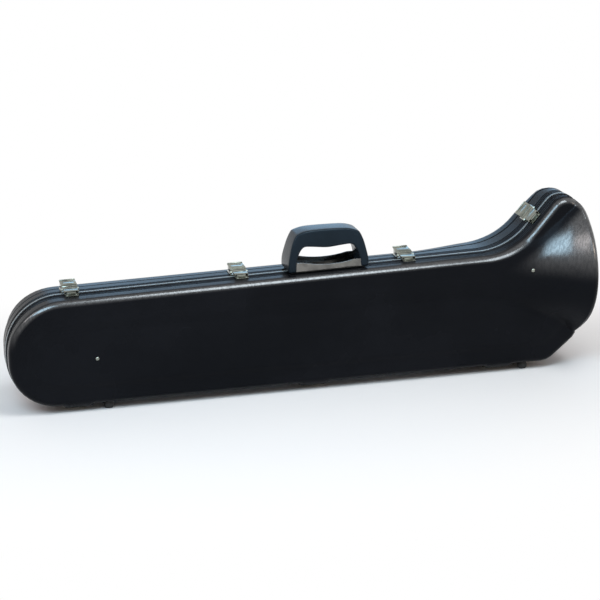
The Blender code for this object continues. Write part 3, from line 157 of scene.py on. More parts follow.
for name, (place, size, power, colour) in LAMPS.items():
    light = bpy.data.lights.new(name, "AREA")
    light.shape = "RECTANGLE"
    light.size, light.size_y = size
    light.energy, light.color = power, colour
    lamp = bpy.data.objects.new(name, light)
    bpy.context.scene.collection.objects.link(lamp)
    lamp.location = place
    lamp.rotation_euler = (LAMPS_FACE - lamp.location).to_track_quat("-Z", "Y").to_euler()
    lamp.visible_camera = False

back = Vector((sin(VIEW_AZIMUTH) * cos(VIEW_HEIGHT), -cos(VIEW_AZIMUTH) * cos(VIEW_HEIGHT), sin(VIEW_HEIGHT)))
right = Vector((cos(VIEW_AZIMUTH), sin(VIEW_AZIMUTH), 0))
lens = bpy.data.cameras.new("camera")
lens.lens, lens.sensor_width = LENS, SENSOR
camera = bpy.data.objects.new("camera", lens)
bpy.context.scene.collection.objects.link(camera)
camera.matrix_world = (Matrix.Translation(VIEW_TARGET + back * VIEW_DISTANCE)
                       @ Matrix((right, back.cross(right), back)).transposed().to_4x4())
bpy.context.scene.camera = camera
bpy.context.scene.view_settings.view_transform = "Standard"

# The two shells: moulded black plastic sheet about 3 mm thick with a fine hide grain, drawn over a
# form. A band and fine ribs run round the seam, the face has a raised field, and the bell end swells.
LENGTH = 0.944
FLOOR_TO_SHELL = 0.012
SLIM_HEIGHT, SLIM_UPPER_RADIUS, SLIM_LOWER_RADIUS = 0.174, 0.086, 0.076
FLARE_FOOT_HEIGHT, FLARE_ANGLE, FLARE_RADIUS = 0.1915, radians(50), 0.112
CREST_HEIGHT, END_TOP_RADIUS, END_BOTTOM_RADIUS = 0.2795, 0.030, 0.030
CHAMFER_ANGLE, CHAMFER_LENGTH, CHAMFER_RADIUS = radians(40), 0.052, 0.032
FRONT_DEPTH, BACK_DEPTH, SEAM_OFFSET = 0.0355, 0.0535, 0.009
FRONT_EDGE_RADIUS, BACK_EDGE_RADIUS = 0.0115, 0.016
WALL, DRAFT, SEAM_GAP = 0.0024, 0.0004, 0.00015
BAND_WIDTH, BAND_PROUD = 0.005, 0.0009
LIP_STEP, LIP_REACH, LIP_ROUND, LIP_SHARE = 0.0016, 0.0026, 0.0003, 0.7
RIB_PLACES, RIB_WIDTH, RIB_DEPTH = (0.0095, 0.0150, 0.0205), 0.0022, 0.0014
RIB_SECTION = ((-1.0, 0.0), (-0.5, 0.85), (0.0, 1.0), (0.5, 0.85), (1.0, 0.0))
RIBS_START = BAND_WIDTH + BAND_PROUD + 0.001
RIBS_DRAWN_IN, RIBS_SPREAD = 0.62, (0.0, 0.42)
BACK_RIB_PLACE, BACK_RIB_RISE = 0.031, 0.016
VALLEY_WIDTH, VALLEY_DEPTH, VALLEY_START_SHARE, VALLEY_FADE = 0.010, 0.0009, 0.8, (0.26, 0.34)
SHOULDER_START, SHOULDER_WIDTH, SHOULDER_RISE = 0.026, 0.014, 0.0022
SWELL, SWELL_START, SWELL_FULL, SWELL_TURN, SWELL_LEFT = 0.024, 0.190, 0.340, 0.385, 0.35
BACK_END_FALL, BACK_FALL_START = 0.011, 0.418
BELL_DRAWN_UP, DRAWN_UP_FROM, DRAWN_UP_TO = 0.14, 0.36, 0.46
BELL_RADIUS, BELL_NECK_RADIUS, BELL_CENTRE_HEIGHT, BELL_REACH = 0.120, 0.032, 0.1545, 0.210
BELL_FLARE_POWER, BELL_BLEND, RIM_RADIUS = 2.2, 0.040, 0.010
PAD_PLACES, PAD_LENGTH, PAD_RAMP, PAD_PROUD = (-0.366, 0.016, 0.334), 0.050, 0.006, 0.005
PAD_LEAST, PAD_TILT = 0.0002, radians(1)
BELL_POLISH, POLISH_RISE = (-0.006, 0.020), (0.165, 0.215)
ROLL_POLISHED, ROLL_DULLED = (radians(8), radians(34)), (radians(58), radians(74))
BACK_POLISH_SHARE, POLISH_UPWARD = 0.2, (0.1, 0.75)
LINER_ROOM = 0.0030
TIP_SPLIT, END_SPLIT = radians(30), radians(35)
BULGE_POWER, CLOSING_SHARE = 6, 0.6
ARC_STEPS, ALONG_STEPS, ACROSS_STEPS = 40, 300, 48
DRAFT_RINGS, ROLL_RINGS, FIELD_RINGS = 4, 8, 10
SMOOTH_ANGLE = radians(40)
END_X = LENGTH / 2


def ease(values, start, end):
    share = np.clip((np.asarray(values) - start) / (end - start), 0.0, 1.0)
    return share ** 2 * (3 - 2 * share)


def rounded_corners():
    """Arcs at the corners of the side outline, clockwise from the slim end's top."""
    low = FLOOR_TO_SHELL
    touch_x = END_X - END_TOP_RADIUS * (1 + sin(FLARE_ANGLE))
    touch_z = low + CREST_HEIGHT - END_TOP_RADIUS * (1 - cos(FLARE_ANGLE))
    foot_z = low + FLARE_FOOT_HEIGHT
    foot_x = touch_x - (touch_z - foot_z) / tan(FLARE_ANGLE)
    rise = (FLARE_FOOT_HEIGHT - SLIM_HEIGHT) / (foot_x + END_X - SLIM_UPPER_RADIUS)
    corners = [
        (-END_X, low + SLIM_HEIGHT - rise * SLIM_UPPER_RADIUS, SLIM_UPPER_RADIUS),
        (foot_x, foot_z, FLARE_RADIUS),
        (END_X, touch_z + (END_X - touch_x) * tan(FLARE_ANGLE), END_TOP_RADIUS),
        (END_X, low + CHAMFER_LENGTH * tan(CHAMFER_ANGLE), END_BOTTOM_RADIUS),
        (END_X - CHAMFER_LENGTH, low, CHAMFER_RADIUS),
        (-END_X, low, SLIM_LOWER_RADIUS),
    ]
    arcs = []
    for i, (x, z, radius) in enumerate(corners):
        after = corners[(i + 1) % len(corners)]
        arrive = np.array((x - corners[i - 1][0], z - corners[i - 1][1]))
        leave = np.array((after[0] - x, after[1] - z))
        arrive, leave = arrive / hypot(*arrive), leave / hypot(*leave)
        turn = atan2(arrive[0] * leave[1] - arrive[1] * leave[0], float(arrive @ leave))
        reach = radius if turn < 0 else -radius
        normal = np.array((-arrive[1], arrive[0]))
        centre = np.array((x, z)) - arrive * radius * tan(abs(turn) / 2) - normal * reach
        arcs.append((centre, reach, atan2(normal[1], normal[0]), turn))
    return arcs


ARCS = rounded_corners()
TOP_LEFT, FLARE_FOOT, END_TOP, END_BOTTOM, CHAMFER, BOTTOM_LEFT = range(6)


def arc_points(index, first, last):
    """Points and outward normals from one share of a corner's arc to another."""
    centre, reach, start, turn = ARCS[index]
    angles = start + turn * np.linspace(first, last, ARC_STEPS)
    normals = np.column_stack([np.cos(angles), np.sin(angles)])
    return np.hstack([centre + normals * reach, normals])


def spaced(rows, count):
    """Rows of points and normals, picked again at even steps along their line."""
    length = np.concatenate([[0], np.cumsum(np.hypot(*np.diff(rows[:, :2], axis=0).T))])
    keep = np.concatenate([[True], np.diff(length) > 0])
    want = np.linspace(0, length[-1], count + 1)
    picked = np.column_stack([np.interp(want, length[keep], rows[keep, k]) for k in range(4)])
    picked[:, 2:] /= np.hypot(picked[:, 2], picked[:, 3])[:, None]
    return picked


tip = TIP_SPLIT / abs(ARCS[TOP_LEFT][3])
low_tip = 1 - TIP_SPLIT / abs(ARCS[BOTTOM_LEFT][3])
end = 1 - END_SPLIT / abs(ARCS[END_TOP][3])
TOP = spaced(np.vstack([arc_points(TOP_LEFT, tip, 1), arc_points(FLARE_FOOT, 0, 1),
                        arc_points(END_TOP, 0, end)]), ALONG_STEPS)
RIGHT = spaced(np.vstack([arc_points(END_TOP, end, 1), arc_points(END_BOTTOM, 0, 0.5)]), ACROSS_STEPS)
BOTTOM = spaced(np.vstack([arc_points(END_BOTTOM, 0.5, 1), arc_points(CHAMFER, 0, 1),
                           arc_points(BOTTOM_LEFT, 0, low_tip)]), ALONG_STEPS)
LEFT = spaced(np.vstack([arc_points(BOTTOM_LEFT, low_tip, 1), arc_points(TOP_LEFT, 0, tip)]), ACROSS_STEPS)
LOOP = np.vstack([TOP[:-1], RIGHT[:-1], BOTTOM[:-1], LEFT[:-1]])
COUNT = len(LOOP)


def inward_of(points):
    """Distance of each point of the side view from the outline."""
    starts = LOOP[::3, :2]
    spans = np.roll(starts, -1, axis=0) - starts
    nearest = np.full(len(points), np.inf)
    for start, span in zip(starts, spans):
        along = np.clip(((points - start) @ span) / (span @ span), 0.0, 1.0)
        away = points - start - along[:, None] * span
        nearest = np.minimum(nearest, np.hypot(*away.T))
    return nearest


def face_parts(points, side):
    """How far a shell's face stands from the seam, twice: as a box with a rolled edge, a valley and
    a raised field, and as the round bell."""
    radius = FRONT_EDGE_RADIUS if side < 0 else BACK_EDGE_RADIUS
    flat = np.full(len(points), FRONT_DEPTH)
    if side > 0:
        grown = ease(points[:, 0], SWELL_START, SWELL_FULL)
        grown = grown - (1 - SWELL_LEFT) * ease(points[:, 0], SWELL_TURN, END_X - END_TOP_RADIUS)
        flat = BACK_DEPTH + SWELL * grown - BACK_END_FALL * ease(points[:, 0], BACK_FALL_START, END_X)
    inward = np.maximum(inward_of(points) - DRAFT, 0.0)
    short = np.maximum(radius - inward, 0.0)
    flat = flat - radius + np.sqrt(np.maximum(radius ** 2 - short ** 2, 0.0))
    edge = radius * VALLEY_START_SHARE
    valley = ease(inward, edge, edge + VALLEY_WIDTH / 2)
    sunk = VALLEY_DEPTH * (1 - ease(points[:, 0], *VALLEY_FADE))
    flat = flat - sunk * valley
    flat = flat + (SHOULDER_RISE + sunk) * ease(inward, SHOULDER_START, SHOULDER_START + SHOULDER_WIDTH)
    share = np.clip((points[:, 0] - END_X + BELL_REACH) / (BELL_REACH - RIM_RADIUS), 0.0, 1.0)
    bell = BELL_NECK_RADIUS + (BELL_RADIUS - BELL_NECK_RADIUS) * share ** BELL_FLARE_POWER
    past = np.clip(points[:, 0] - (END_X - RIM_RADIUS), 0.0, RIM_RADIUS)
    bell = bell - RIM_RADIUS + np.sqrt(RIM_RADIUS ** 2 - past ** 2)
    height = points[:, 1] - FLOOR_TO_SHELL - BELL_CENTRE_HEIGHT
    drawn_up = 1 + BELL_DRAWN_UP * ease(points[:, 0], DRAWN_UP_FROM, DRAWN_UP_TO) * (height < 0)
    swell = np.sqrt(np.maximum(bell ** 2 - (height * drawn_up) ** 2, 0.0)) + side * SEAM_OFFSET
    return flat, swell


def face_depth(points, side):
    """The two forms of a face joined smoothly."""
    flat, swell = face_parts(points, side)
    overlap = np.maximum(BELL_BLEND - np.abs(flat - swell), 0.0) / BELL_BLEND
    return np.maximum(flat, swell) + overlap ** 2 * BELL_BLEND / 4


def limit_of(points, side):
    """How deep an insert may reach behind a shell's face before it meets the wall."""
    return face_depth(points, side) - WALL - LINER_ROOM


def pad_share():
    """One over a hinge pad on the underside, falling to zero along its ramps."""
    reach = np.max([(PAD_LENGTH / 2 - np.abs(LOOP[:, 0] - place)) / PAD_RAMP for place in PAD_PLACES], axis=0)
    return ease(reach, 0.0, 1.0) * (LOOP[:, 3] < -cos(PAD_TILT))


def plan_ring(inward):
    """The outline seen from the side, moved inward by a length or by one length per point."""
    return LOOP[:, :2] - LOOP[:, 2:] * np.broadcast_to(inward, COUNT)[:, None]


def closed_up(inward):
    """Inward steps that tighten at the bell end's small corners, where a wide ring would fold."""
    field = SHOULDER_START + SHOULDER_WIDTH - BACK_EDGE_RADIUS
    share = np.clip((inward - BACK_EDGE_RADIUS) / field, 0.0, 1.0)
    near = BACK_EDGE_RADIUS + (END_BOTTOM_RADIUS - BACK_EDGE_RADIUS) * share * CLOSING_SHARE
    start = END_X - BELL_REACH / 2
    tight = np.clip((LOOP[:, 0] - start) / (END_X - CHAMFER_LENGTH - start), 0.0, 1.0)
    return inward + (min(near, inward) - inward) * tight


def between(ring):
    """Points between a ring's four sides: rungs from top to bottom, bulging at both ends."""
    second, third = ALONG_STEPS + ACROSS_STEPS, 2 * ALONG_STEPS + ACROSS_STEPS
    top, bottom = ring[:ALONG_STEPS + 1], ring[second:third + 1][::-1]
    right, left = ring[ALONG_STEPS:second + 1], np.vstack([ring[third:], ring[:1]])[::-1]
    middle = (top[:, 0] + bottom[:, 0]) / 2
    across = (middle - middle[0]) / (middle[-1] - middle[0])
    left_down = (left[:, 1] - left[0, 1]) / (left[-1, 1] - left[0, 1])
    right_down = (right[:, 1] - right[0, 1]) / (right[-1, 1] - right[0, 1])
    left_bulge = left[:, 0] - left[0, 0] - (left[-1, 0] - left[0, 0]) * left_down
    right_bulge = right[:, 0] - right[0, 0] - (right[-1, 0] - right[0, 0]) * right_down
    grid = np.zeros((ACROSS_STEPS + 1, ALONG_STEPS + 1, 2))
    for i, u in enumerate(across):
        down = left_down + (right_down - left_down) * u
        grid[:, i] = top[i] + (bottom[i] - top[i]) * down[:, None]
        grid[:, i, 0] += left_bulge * (1 - u) ** BULGE_POWER + right_bulge * u ** BULGE_POWER
    return grid


def wall_profile(side, wall_end):
    """Steps up the wall from the seam: how far out, and how far from the seam, round the loop. The
    back shell's lip stands over the lid's; the fine ribs lie closer together towards the slim end."""
    drawn = RIBS_DRAWN_IN + (1 - RIBS_DRAWN_IN) * ease(LOOP[:, 0], *RIBS_SPREAD)
    step = LIP_REACH * LIP_SHARE
    if side < 0:
        rows = [(BAND_PROUD - LIP_STEP, SEAM_GAP), (BAND_PROUD - LIP_STEP, step)]
    else:
        rows = [(BAND_PROUD - LIP_ROUND, SEAM_GAP), (BAND_PROUD, SEAM_GAP + LIP_ROUND), (BAND_PROUD, step)]
    rows += [(BAND_PROUD, LIP_REACH), (BAND_PROUD, BAND_WIDTH),
             (BAND_PROUD * 0.7, BAND_WIDTH + BAND_PROUD * 0.5), (0.0, BAND_WIDTH + BAND_PROUD)]
    places = [RIBS_START + (place - RIBS_START) * drawn for place in RIB_PLACES]
    if side > 0:
        place = BACK_RIB_PLACE + BACK_RIB_RISE * ease(LOOP[:, 0], SWELL_START, SWELL_FULL)
        places.append(np.minimum(place, wall_end - 2 * RIB_WIDTH))
    for place in places:
        for reach, depth in RIB_SECTION:
            rows.append((-RIB_DEPTH * depth, place + RIB_WIDTH * reach * drawn))
    return rows + [(0.0, rows[-1][1] + RIB_WIDTH / 2)]


def applied(piece, kind, **settings):
    """Add a modifier to a piece and turn it into plain mesh."""
    made = piece.modifiers.new(kind.lower(), kind)
    for name, value in settings.items():
        setattr(made, name, value)
    bpy.ops.object.modifier_apply(modifier=made.name)


def make_shell(name, side):
    """One shell: rings up its wall, round its rolled edge and over the shoulder, then a grid over the
    field, given its wall. Each point keeps its lip's share of painted highlight and how much polish it takes."""
    pads = pad_share() * PAD_PROUD
    radius = FRONT_EDGE_RADIUS if side < 0 else BACK_EDGE_RADIUS
    wall_end = face_depth(plan_ring(DRAFT), side)
    rings, lip, polish = [], [], []
    for out, y in wall_profile(side, wall_end):
        over_pads = np.where(pads > PAD_LEAST, np.maximum(out, pads), out)
        rings.append((plan_ring(-over_pads), np.broadcast_to(y, COUNT)))
        lip.append(float(side > 0 and np.max(y) < LIP_REACH))
        polish.append(0.0)
    last = rings[-1][1]
    for step in range(1, DRAFT_RINGS + 1):
        share = step / DRAFT_RINGS
        rings.append((plan_ring(DRAFT * share - pads), last + (wall_end - last) * share))
        polish.append(0.0)
    for step in range(1, ROLL_RINGS + 1):
        turn = pi / 2 * step / ROLL_RINGS
        inward = DRAFT + radius * (1 - cos(turn)) - pads * (1 - sin(turn))
        plan = plan_ring(inward)
        rings.append((plan, face_depth(plan_ring(DRAFT + radius * (1 - cos(turn))), side)))
        share = float(ease(turn, *ROLL_POLISHED) * (1 - ease(turn, *ROLL_DULLED)))
        polish.append(share if side < 0 else share * BACK_POLISH_SHARE)
    width = SHOULDER_START + SHOULDER_WIDTH - radius
    for step in range(1, FIELD_RINGS + 1):
        plan = plan_ring(closed_up(DRAFT + radius + width * step / FIELD_RINGS))
        rings.append((plan, face_depth(plan, side)))
        polish.append(0.0)
    grid = between(rings[-1][0])
    inside = grid[1:-1, 1:-1].reshape(-1, 2)
    sheets = rings + [(inside, face_depth(inside, side))]
    points = np.vstack([np.column_stack([plan[:, 0], side * depth - SEAM_OFFSET, plan[:, 1]])
                        for plan, depth in sheets])
    past_wall = len(lip) * COUNT
    flat, swell = face_parts(points[past_wall:][:, [0, 2]], side)
    marks = {"lip": np.zeros(len(points)), "polish": np.zeros(len(points))}
    marks["lip"][:past_wall] = np.repeat(lip, COUNT)
    upward = np.tile(ease(LOOP[:, 3], *POLISH_UPWARD), len(polish))
    marks["polish"][:len(polish) * COUNT] = np.repeat(polish, COUNT) * upward
    high = ease(points[past_wall:, 2], *POLISH_RISE)
    marks["polish"][past_wall:] += ease(swell - flat, *BELL_POLISH) * high
    # Faces between the rings, then over the grid, whose border is the last ring
    faces = []
    for level in range(len(rings) - 1):
        a = level * COUNT + np.arange(COUNT)
        b = level * COUNT + (np.arange(COUNT) + 1) % COUNT
        faces.append(np.column_stack([a, b, b + COUNT, a + COUNT]))
    number = np.zeros((ACROSS_STEPS + 1, ALONG_STEPS + 1), dtype=int)
    edge = (len(rings) - 1) * COUNT
    number[0] = edge + np.arange(ALONG_STEPS + 1)
    number[-1] = edge + 2 * ALONG_STEPS + ACROSS_STEPS - np.arange(ALONG_STEPS + 1)
    number[:, -1] = edge + ALONG_STEPS + np.arange(ACROSS_STEPS + 1)
    number[:, 0] = edge + (2 * ALONG_STEPS + 2 * ACROSS_STEPS - np.arange(ACROSS_STEPS + 1)) % COUNT
    number[1:-1, 1:-1] = (edge + COUNT + np.arange(len(inside))).reshape(ACROSS_STEPS - 1, -1)
    faces.append(np.column_stack([number[:-1, :-1].ravel(), number[:-1, 1:].ravel(), number[1:, 1:].ravel(),
                                  number[1:, :-1].ravel()]))
    faces = np.vstack(faces)
    if side < 0:
        faces = faces[:, ::-1]
    mesh = bpy.data.meshes.new(name)
    mesh.from_pydata(points.tolist(), [], faces.tolist())
    for label, values in marks.items():
        mesh.attributes.new(label, "FLOAT", "POINT").data.foreach_set("value", np.clip(values, 0.0, 1.0))
    made = bpy.data.objects.new(name, mesh)
    bpy.context.scene.collection.objects.link(made)
    bpy.ops.object.select_all(action="DESELECT")
    made.select_set(True)
    bpy.context.view_layer.objects.active = made
    applied(made, "SOLIDIFY", thickness=WALL, offset=-1)
    bpy.ops.object.shade_smooth_by_angle(angle=SMOOTH_ANGLE)
    return made


def mixed(tree, fac, first, second, at=(0, 0), blend="MIX"):
    """A colour mix whose factor and colours may be sockets or plain values."""
    made = node_of(tree, "ShaderNodeMix", at, data_type="RGBA", blend_type=blend)
    for socket, value in ((made.inputs[0], fac), (made.inputs[6], first), (made.inputs[7], second)):
        if isinstance(value, bpy.types.NodeSocket):
            tree.links.new(value, socket)
        else:
            socket.default_value = value if not isinstance(value, tuple) else (*value, 1)
    return made.outputs[2]


def noise_of(tree, place, scale, detail, at):
    """Fine or broad noise at a place in the piece's own frame; a scale may be a socket."""
    made = node_of(tree, "ShaderNodeTexNoise", at)
    tree.links.new(place, made.inputs["Vector"])
    made.inputs["Detail"].default_value = detail
    if isinstance(scale, bpy.types.NodeSocket):
        tree.links.new(scale, made.inputs["Scale"])
    else:
        made.inputs["Scale"].default_value = scale
    return made


def relief_of(tree, shader, height, strength, distance):
    """Let a height stand out of the surface."""
    bump = node_of(tree, "ShaderNodeBump", (-300, -300))
    bump.inputs["Strength"].default_value = strength
    bump.inputs["Distance"].default_value = distance
    tree.links.new(height, bump.inputs["Height"])
    tree.links.new(bump.outputs["Normal"], shader.inputs["Normal"])


def make_grain():
    """Hide grain of moulded sheet: cells of two sizes with creases between, as a height."""
    group, source, sink = group_of("hide_grain", {"Scale": 700.0, "Relief": 1.0},
                                   {"Height": "NodeSocketFloat"})
    here = node_of(group, "ShaderNodeTexCoord", (-900, 200)).outputs["Object"]
    warp = noise_of(group, here, 160, 2, (-700, 300))
    bent = node_of(group, "ShaderNodeVectorMath", (-500, 200), operation="MULTIPLY_ADD")
    bent.inputs[1].default_value = (0.004, 0.004, 0.004)
    group.links.new(warp.outputs["Color"], bent.inputs[0])
    group.links.new(here, bent.inputs[2])
    cells = node_of(group, "ShaderNodeTexVoronoi", (-300, 200), feature="DISTANCE_TO_EDGE")
    group.links.new(bent.outputs[0], cells.inputs["Vector"])
    group.links.new(source.outputs["Scale"], cells.inputs["Scale"])
    crease = ramp_of(group, 0.0, 0.22, at=(-100, 200))
    group.links.new(cells.outputs["Distance"], crease.inputs["Value"])
    fine = noise_of(group, here, 1900, 3, (-300, -100))
    both = node_of(group, "ShaderNodeMath", (150, 100), operation="MULTIPLY_ADD")
    both.inputs[1].default_value = 0.55
    group.links.new(fine.outputs["Fac"], both.inputs[0])
    group.links.new(crease.outputs["Result"], both.inputs[2])
    scaled = math_of(group, "MULTIPLY", both.outputs[0], source.outputs["Relief"], (400, 100))
    group.links.new(scaled, sink.inputs["Height"])
    return group


def make_wear():
    """Marks of use: a dull bloom in broad patches, and thin rubbed streaks, as masks."""
    group, source, sink = group_of("use_marks", {"Patch Scale": 7.0, "Streak Scale": 26.0},
                                   {"Bloom": "NodeSocketFloat", "Streaks": "NodeSocketFloat"})
    here = node_of(group, "ShaderNodeTexCoord", (-900, 200)).outputs["Object"]
    patches = noise_of(group, here, source.outputs["Patch Scale"], 5, (-500, 250))
    bloom = ramp_of(group, 0.38, 0.68, at=(-250, 250))
    group.links.new(patches.outputs["Fac"], bloom.inputs["Value"])
    group.links.new(bloom.outputs["Result"], sink.inputs["Bloom"])
    drawn = node_of(group, "ShaderNodeMapping", (-700, -100))
    drawn.inputs["Rotation"].default_value = (0.0, 0.5, 0.1)
    drawn.inputs["Scale"].default_value = (1.0, 3.0, 9.0)
    group.links.new(here, drawn.inputs["Vector"])
    thin = noise_of(group, drawn.outputs["Vector"], source.outputs["Streak Scale"], 8, (-500, -100))
    thin.inputs["Roughness"].default_value = 0.7
    streaks = ramp_of(group, 0.66, 0.74, at=(-250, -100))
    group.links.new(thin.outputs["Fac"], streaks.inputs["Value"])
    kept = math_of(group, "MULTIPLY", streaks.outputs["Result"], bloom.outputs["Result"], (0, -50))
    group.links.new(kept, sink.inputs["Streaks"])
    return group


GRAIN, WEAR = make_grain(), make_wear()
BLOOM_LIFT = 1.5
# The lip's colour is a painted highlight: the pale edge of the back shell's lip, where it catches the light
LIP_PAINTED_HIGHLIGHT = (0.27, 0.30, 0.31)
POLISH_ROUGHNESS, POLISH_IOR = 0.21, 1.85


def new_material(name):
    made = bpy.data.materials.new(name)
    made.use_nodes = True
    return made, made.node_tree, made.node_tree.nodes["Principled BSDF"]


def marked(tree, shader, colour, bloomed, streaked, rough, **scales):
    """Colour and gloss of a used surface: bloom in patches, and rubbed or dirty streaks."""
    marks = placed(tree, WEAR, (-900, 200), **scales)
    tint = mixed(tree, marks.outputs["Bloom"], colour, bloomed, (-600, 200))
    tint = mixed(tree, marks.outputs["Streaks"], tint, streaked, (-400, 200))
    tree.links.new(tint, shader.inputs["Base Color"])
    gloss = ramp_of(tree, 0.0, 1.0, rough[0], rough[1], (-400, -50))
    tree.links.new(marks.outputs["Bloom"], gloss.inputs["Value"])
    tree.links.new(gloss.outputs["Result"], shader.inputs["Roughness"])


def moulded_plastic(name, colour, wear_and_highlight, rough, relief, specular, painted_reflection_tint, grain_scale=700.0,
                    depth=0.0006):
    """Moulded black plastic: grain in its relief, bloom and rubbed streaks in colour and gloss, and a painted
    blue tint in its reflections.
    """
    made, tree, shader = new_material(name)
    marked(tree, shader, colour, tuple(BLOOM_LIFT * c for c in colour), wear_and_highlight, rough)
    grain = placed(tree, GRAIN, (-700, -300), Scale=grain_scale, Relief=1.0)
    relief_of(tree, shader, grain.outputs["Height"], relief, depth)
    shader.inputs["Specular IOR Level"].default_value = specular
    # Painted light: the tint colours the plastic's reflections blue, as if lit by blue light
    shader.inputs["Specular Tint"].default_value = (*painted_reflection_tint, 1)
    return made


def make_polish():
    """Where the sheet was drawn hard over the form its grain is flattened and takes a polish, but
    for the creases left in it. The share of each place is kept on the shells' points."""
    group, source, sink = group_of("drawn_polish", {"Least": 0.72}, {"Polish": "NodeSocketFloat"})
    kept = node_of(group, "ShaderNodeAttribute", (-700, 200), attribute_name="polish")
    here = node_of(group, "ShaderNodeTexCoord", (-900, 0))
    upright = node_of(group, "ShaderNodeMapping", (-700, 0))
    upright.inputs["Scale"].default_value = (1.0, 1.0, 0.25)
    group.links.new(here.outputs["Object"], upright.inputs["Vector"])
    creases = noise_of(group, upright.outputs["Vector"], 330, 3, (-500, 0))
    left = ramp_of(group, 0.38, 0.60, at=(-250, 0))
    group.links.new(creases.outputs["Fac"], left.inputs["Value"])
    group.links.new(source.outputs["Least"], left.inputs["To Min"])
    broken = math_of(group, "MULTIPLY", kept.outputs["Fac"], left.outputs["Result"], (0, 100))
    group.links.new(broken, sink.inputs["Polish"])
    return group


# The last colour is the painted blue tint of the shell's reflections
SHELL_BLACK = moulded_plastic("shell_black", (0.0042, 0.0042, 0.0052), (0.020, 0.021, 0.024),
                              (0.20, 0.30), 0.07, 0.075, (0.75, 0.86, 1.0))
tree = SHELL_BLACK.node_tree
shader = tree.nodes["Principled BSDF"]
polish = placed(tree, make_polish(), (-400, -600))
tree.links.new(polish.outputs["Polish"], shader.inputs["Coat Weight"])
shader.inputs["Coat Roughness"].default_value = POLISH_ROUGHNESS
shader.inputs["Coat IOR"].default_value = POLISH_IOR
# Painted highlight: the back shell's lip rows are coloured pale grey-blue, standing in for light caught on
# its edge
lip_highlight_share = node_of(tree, "ShaderNodeAttribute", (-600, 500), attribute_name="lip")
base_before_lip_highlight = shader.inputs["Base Color"].links[0].from_socket
wear_and_highlight = mixed(tree, lip_highlight_share.outputs["Fac"], base_before_lip_highlight, LIP_PAINTED_HIGHLIGHT, (-150, 300))
tree.links.new(wear_and_highlight, shader.inputs["Base Color"])
BODY_OF = {node: body for body, nodes in frame["record"]["behaviour"]["bodies"].items() for node in nodes}


def settle(piece, node, material):
    """Give a piece its material, let it stand for a CAD node and ride on that node's body."""
    piece.data.materials.clear()
    piece.data.materials.append(material)
    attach(piece, BODY_OF[node])
    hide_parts(node)
    return piece


for node, side in (("back_shell", 1), ("front_shell", -1)):
    settle(make_shell("moulded_" + node, side), node, SHELL_BLACK)

# Nickel-plated steel: the latches, hinges, handle bracket, rivets, pins, clips and screws are
# pressed from sheet or turned. Their cut edges are broken a little, and the plating is dulled.


def brushed(name, colour, dull, rough, dirt):
    """Plated metal: fine scratches in the relief, dull patches and dirt that gathers in them."""
    made, tree, shader = new_material(name)
    marked(tree, shader, colour, dull, dirt, rough, Patch_Scale=60.0, Streak_Scale=220.0)
    shader.inputs["Metallic"].default_value = 1.0
    here = node_of(tree, "ShaderNodeTexCoord", (-1000, -300))
    drawn = node_of(tree, "ShaderNodeMapping", (-800, -300))
    drawn.inputs["Scale"].default_value = (1.0, 14.0, 14.0)
    tree.links.new(here.outputs["Object"], drawn.inputs["Vector"])
    hairs = noise_of(tree, drawn.outputs["Vector"], 420, 4, (-600, -300))
    relief_of(tree, shader, hairs.outputs["Fac"], 0.18, 0.0002)
    return made


NICKEL = brushed("nickel_plate", (0.27, 0.285, 0.25), (0.16, 0.17, 0.15), (0.10, 0.22), (0.09, 0.085, 0.07))
MERGE_DISTANCE, FLAT_ANGLE = 0.00002, radians(1.5)
LATCH_EDGE, HINGE_EDGE, PIN_EDGE, CHANNEL_EDGE, RIVET_EDGE = 0.00022, 0.0002, 0.0003, 0.0005, 0.0006
HANDLE_PIN_EDGE, STUD_EDGE_SHARE = 0.0004, 0.45


def copy_of(node, name):
    """A merged copy of a CAD node's mesh, with its flat faces whole again, active and selected."""
    bpy.ops.object.select_all(action="DESELECT")
    made = bpy.data.objects.new(name, frame["nodes"][node].data.copy())
    bpy.context.scene.collection.objects.link(made)
    made.select_set(True)
    bpy.context.view_layer.objects.active = made
    bpy.ops.object.mode_set(mode="EDIT")
    bpy.ops.mesh.select_all(action="SELECT")
    bpy.ops.mesh.customdata_custom_splitnormals_clear()
    bpy.ops.mesh.remove_doubles(threshold=MERGE_DISTANCE)
    bpy.ops.mesh.dissolve_limited(angle_limit=FLAT_ANGLE)
    bpy.ops.object.mode_set(mode="OBJECT")
    return made


def eased(piece, width, segments=2, angle=30):
    """Break the sharp edges of a piece with a narrow bevel, then shade its round faces smooth."""
    applied(piece, "BEVEL", width=width, segments=segments, limit_method="ANGLE", angle_limit=radians(angle))
    bpy.ops.object.shade_smooth_by_angle(angle=radians(angle))
    return piece


def pressed(node, width, material=NICKEL, segments=2, angle=30):
    """A finished copy of a CAD node, with its edges broken."""
    return settle(eased(copy_of(node, node + "_piece"), width, segments, angle), node, material)


def block(low, high, round_by):
    """A rounded plate between two corners, left active."""
    middle = [(a + b) / 2 for a, b in zip(low, high)]
    bpy.ops.object.select_all(action="DESELECT")
    bpy.ops.mesh.primitive_cube_add(size=1, location=middle)
    made = bpy.context.object
    made.dimensions = [b - a for a, b in zip(low, high)]
    bpy.ops.object.transform_apply(location=True, rotation=True, scale=True)
    return eased(made, round_by)


def stud(place, radius, rise, axis="Z"):
    """A low domed rivet head or rolled edge, standing along an axis, left active."""
    bpy.ops.object.select_all(action="DESELECT")
    turn = (0, 0, 0) if axis == "Z" else (0, pi / 2, 0)
    bpy.ops.mesh.primitive_cylinder_add(vertices=24, radius=radius, depth=rise, location=place,
                                        rotation=turn)
    made = bpy.context.object
    bpy.ops.object.transform_apply(location=True, rotation=True, scale=True)
    return eased(made, min(radius, rise) * STUD_EDGE_SHARE, 3)


def one_piece(first, *others):
    """Join loose-modelled bodies that are welded into one piece."""
    bpy.ops.object.select_all(action="DESELECT")
    for other in (first, *others):
        other.select_set(True)
    bpy.context.view_layer.objects.active = first
    bpy.ops.object.join()
    return first


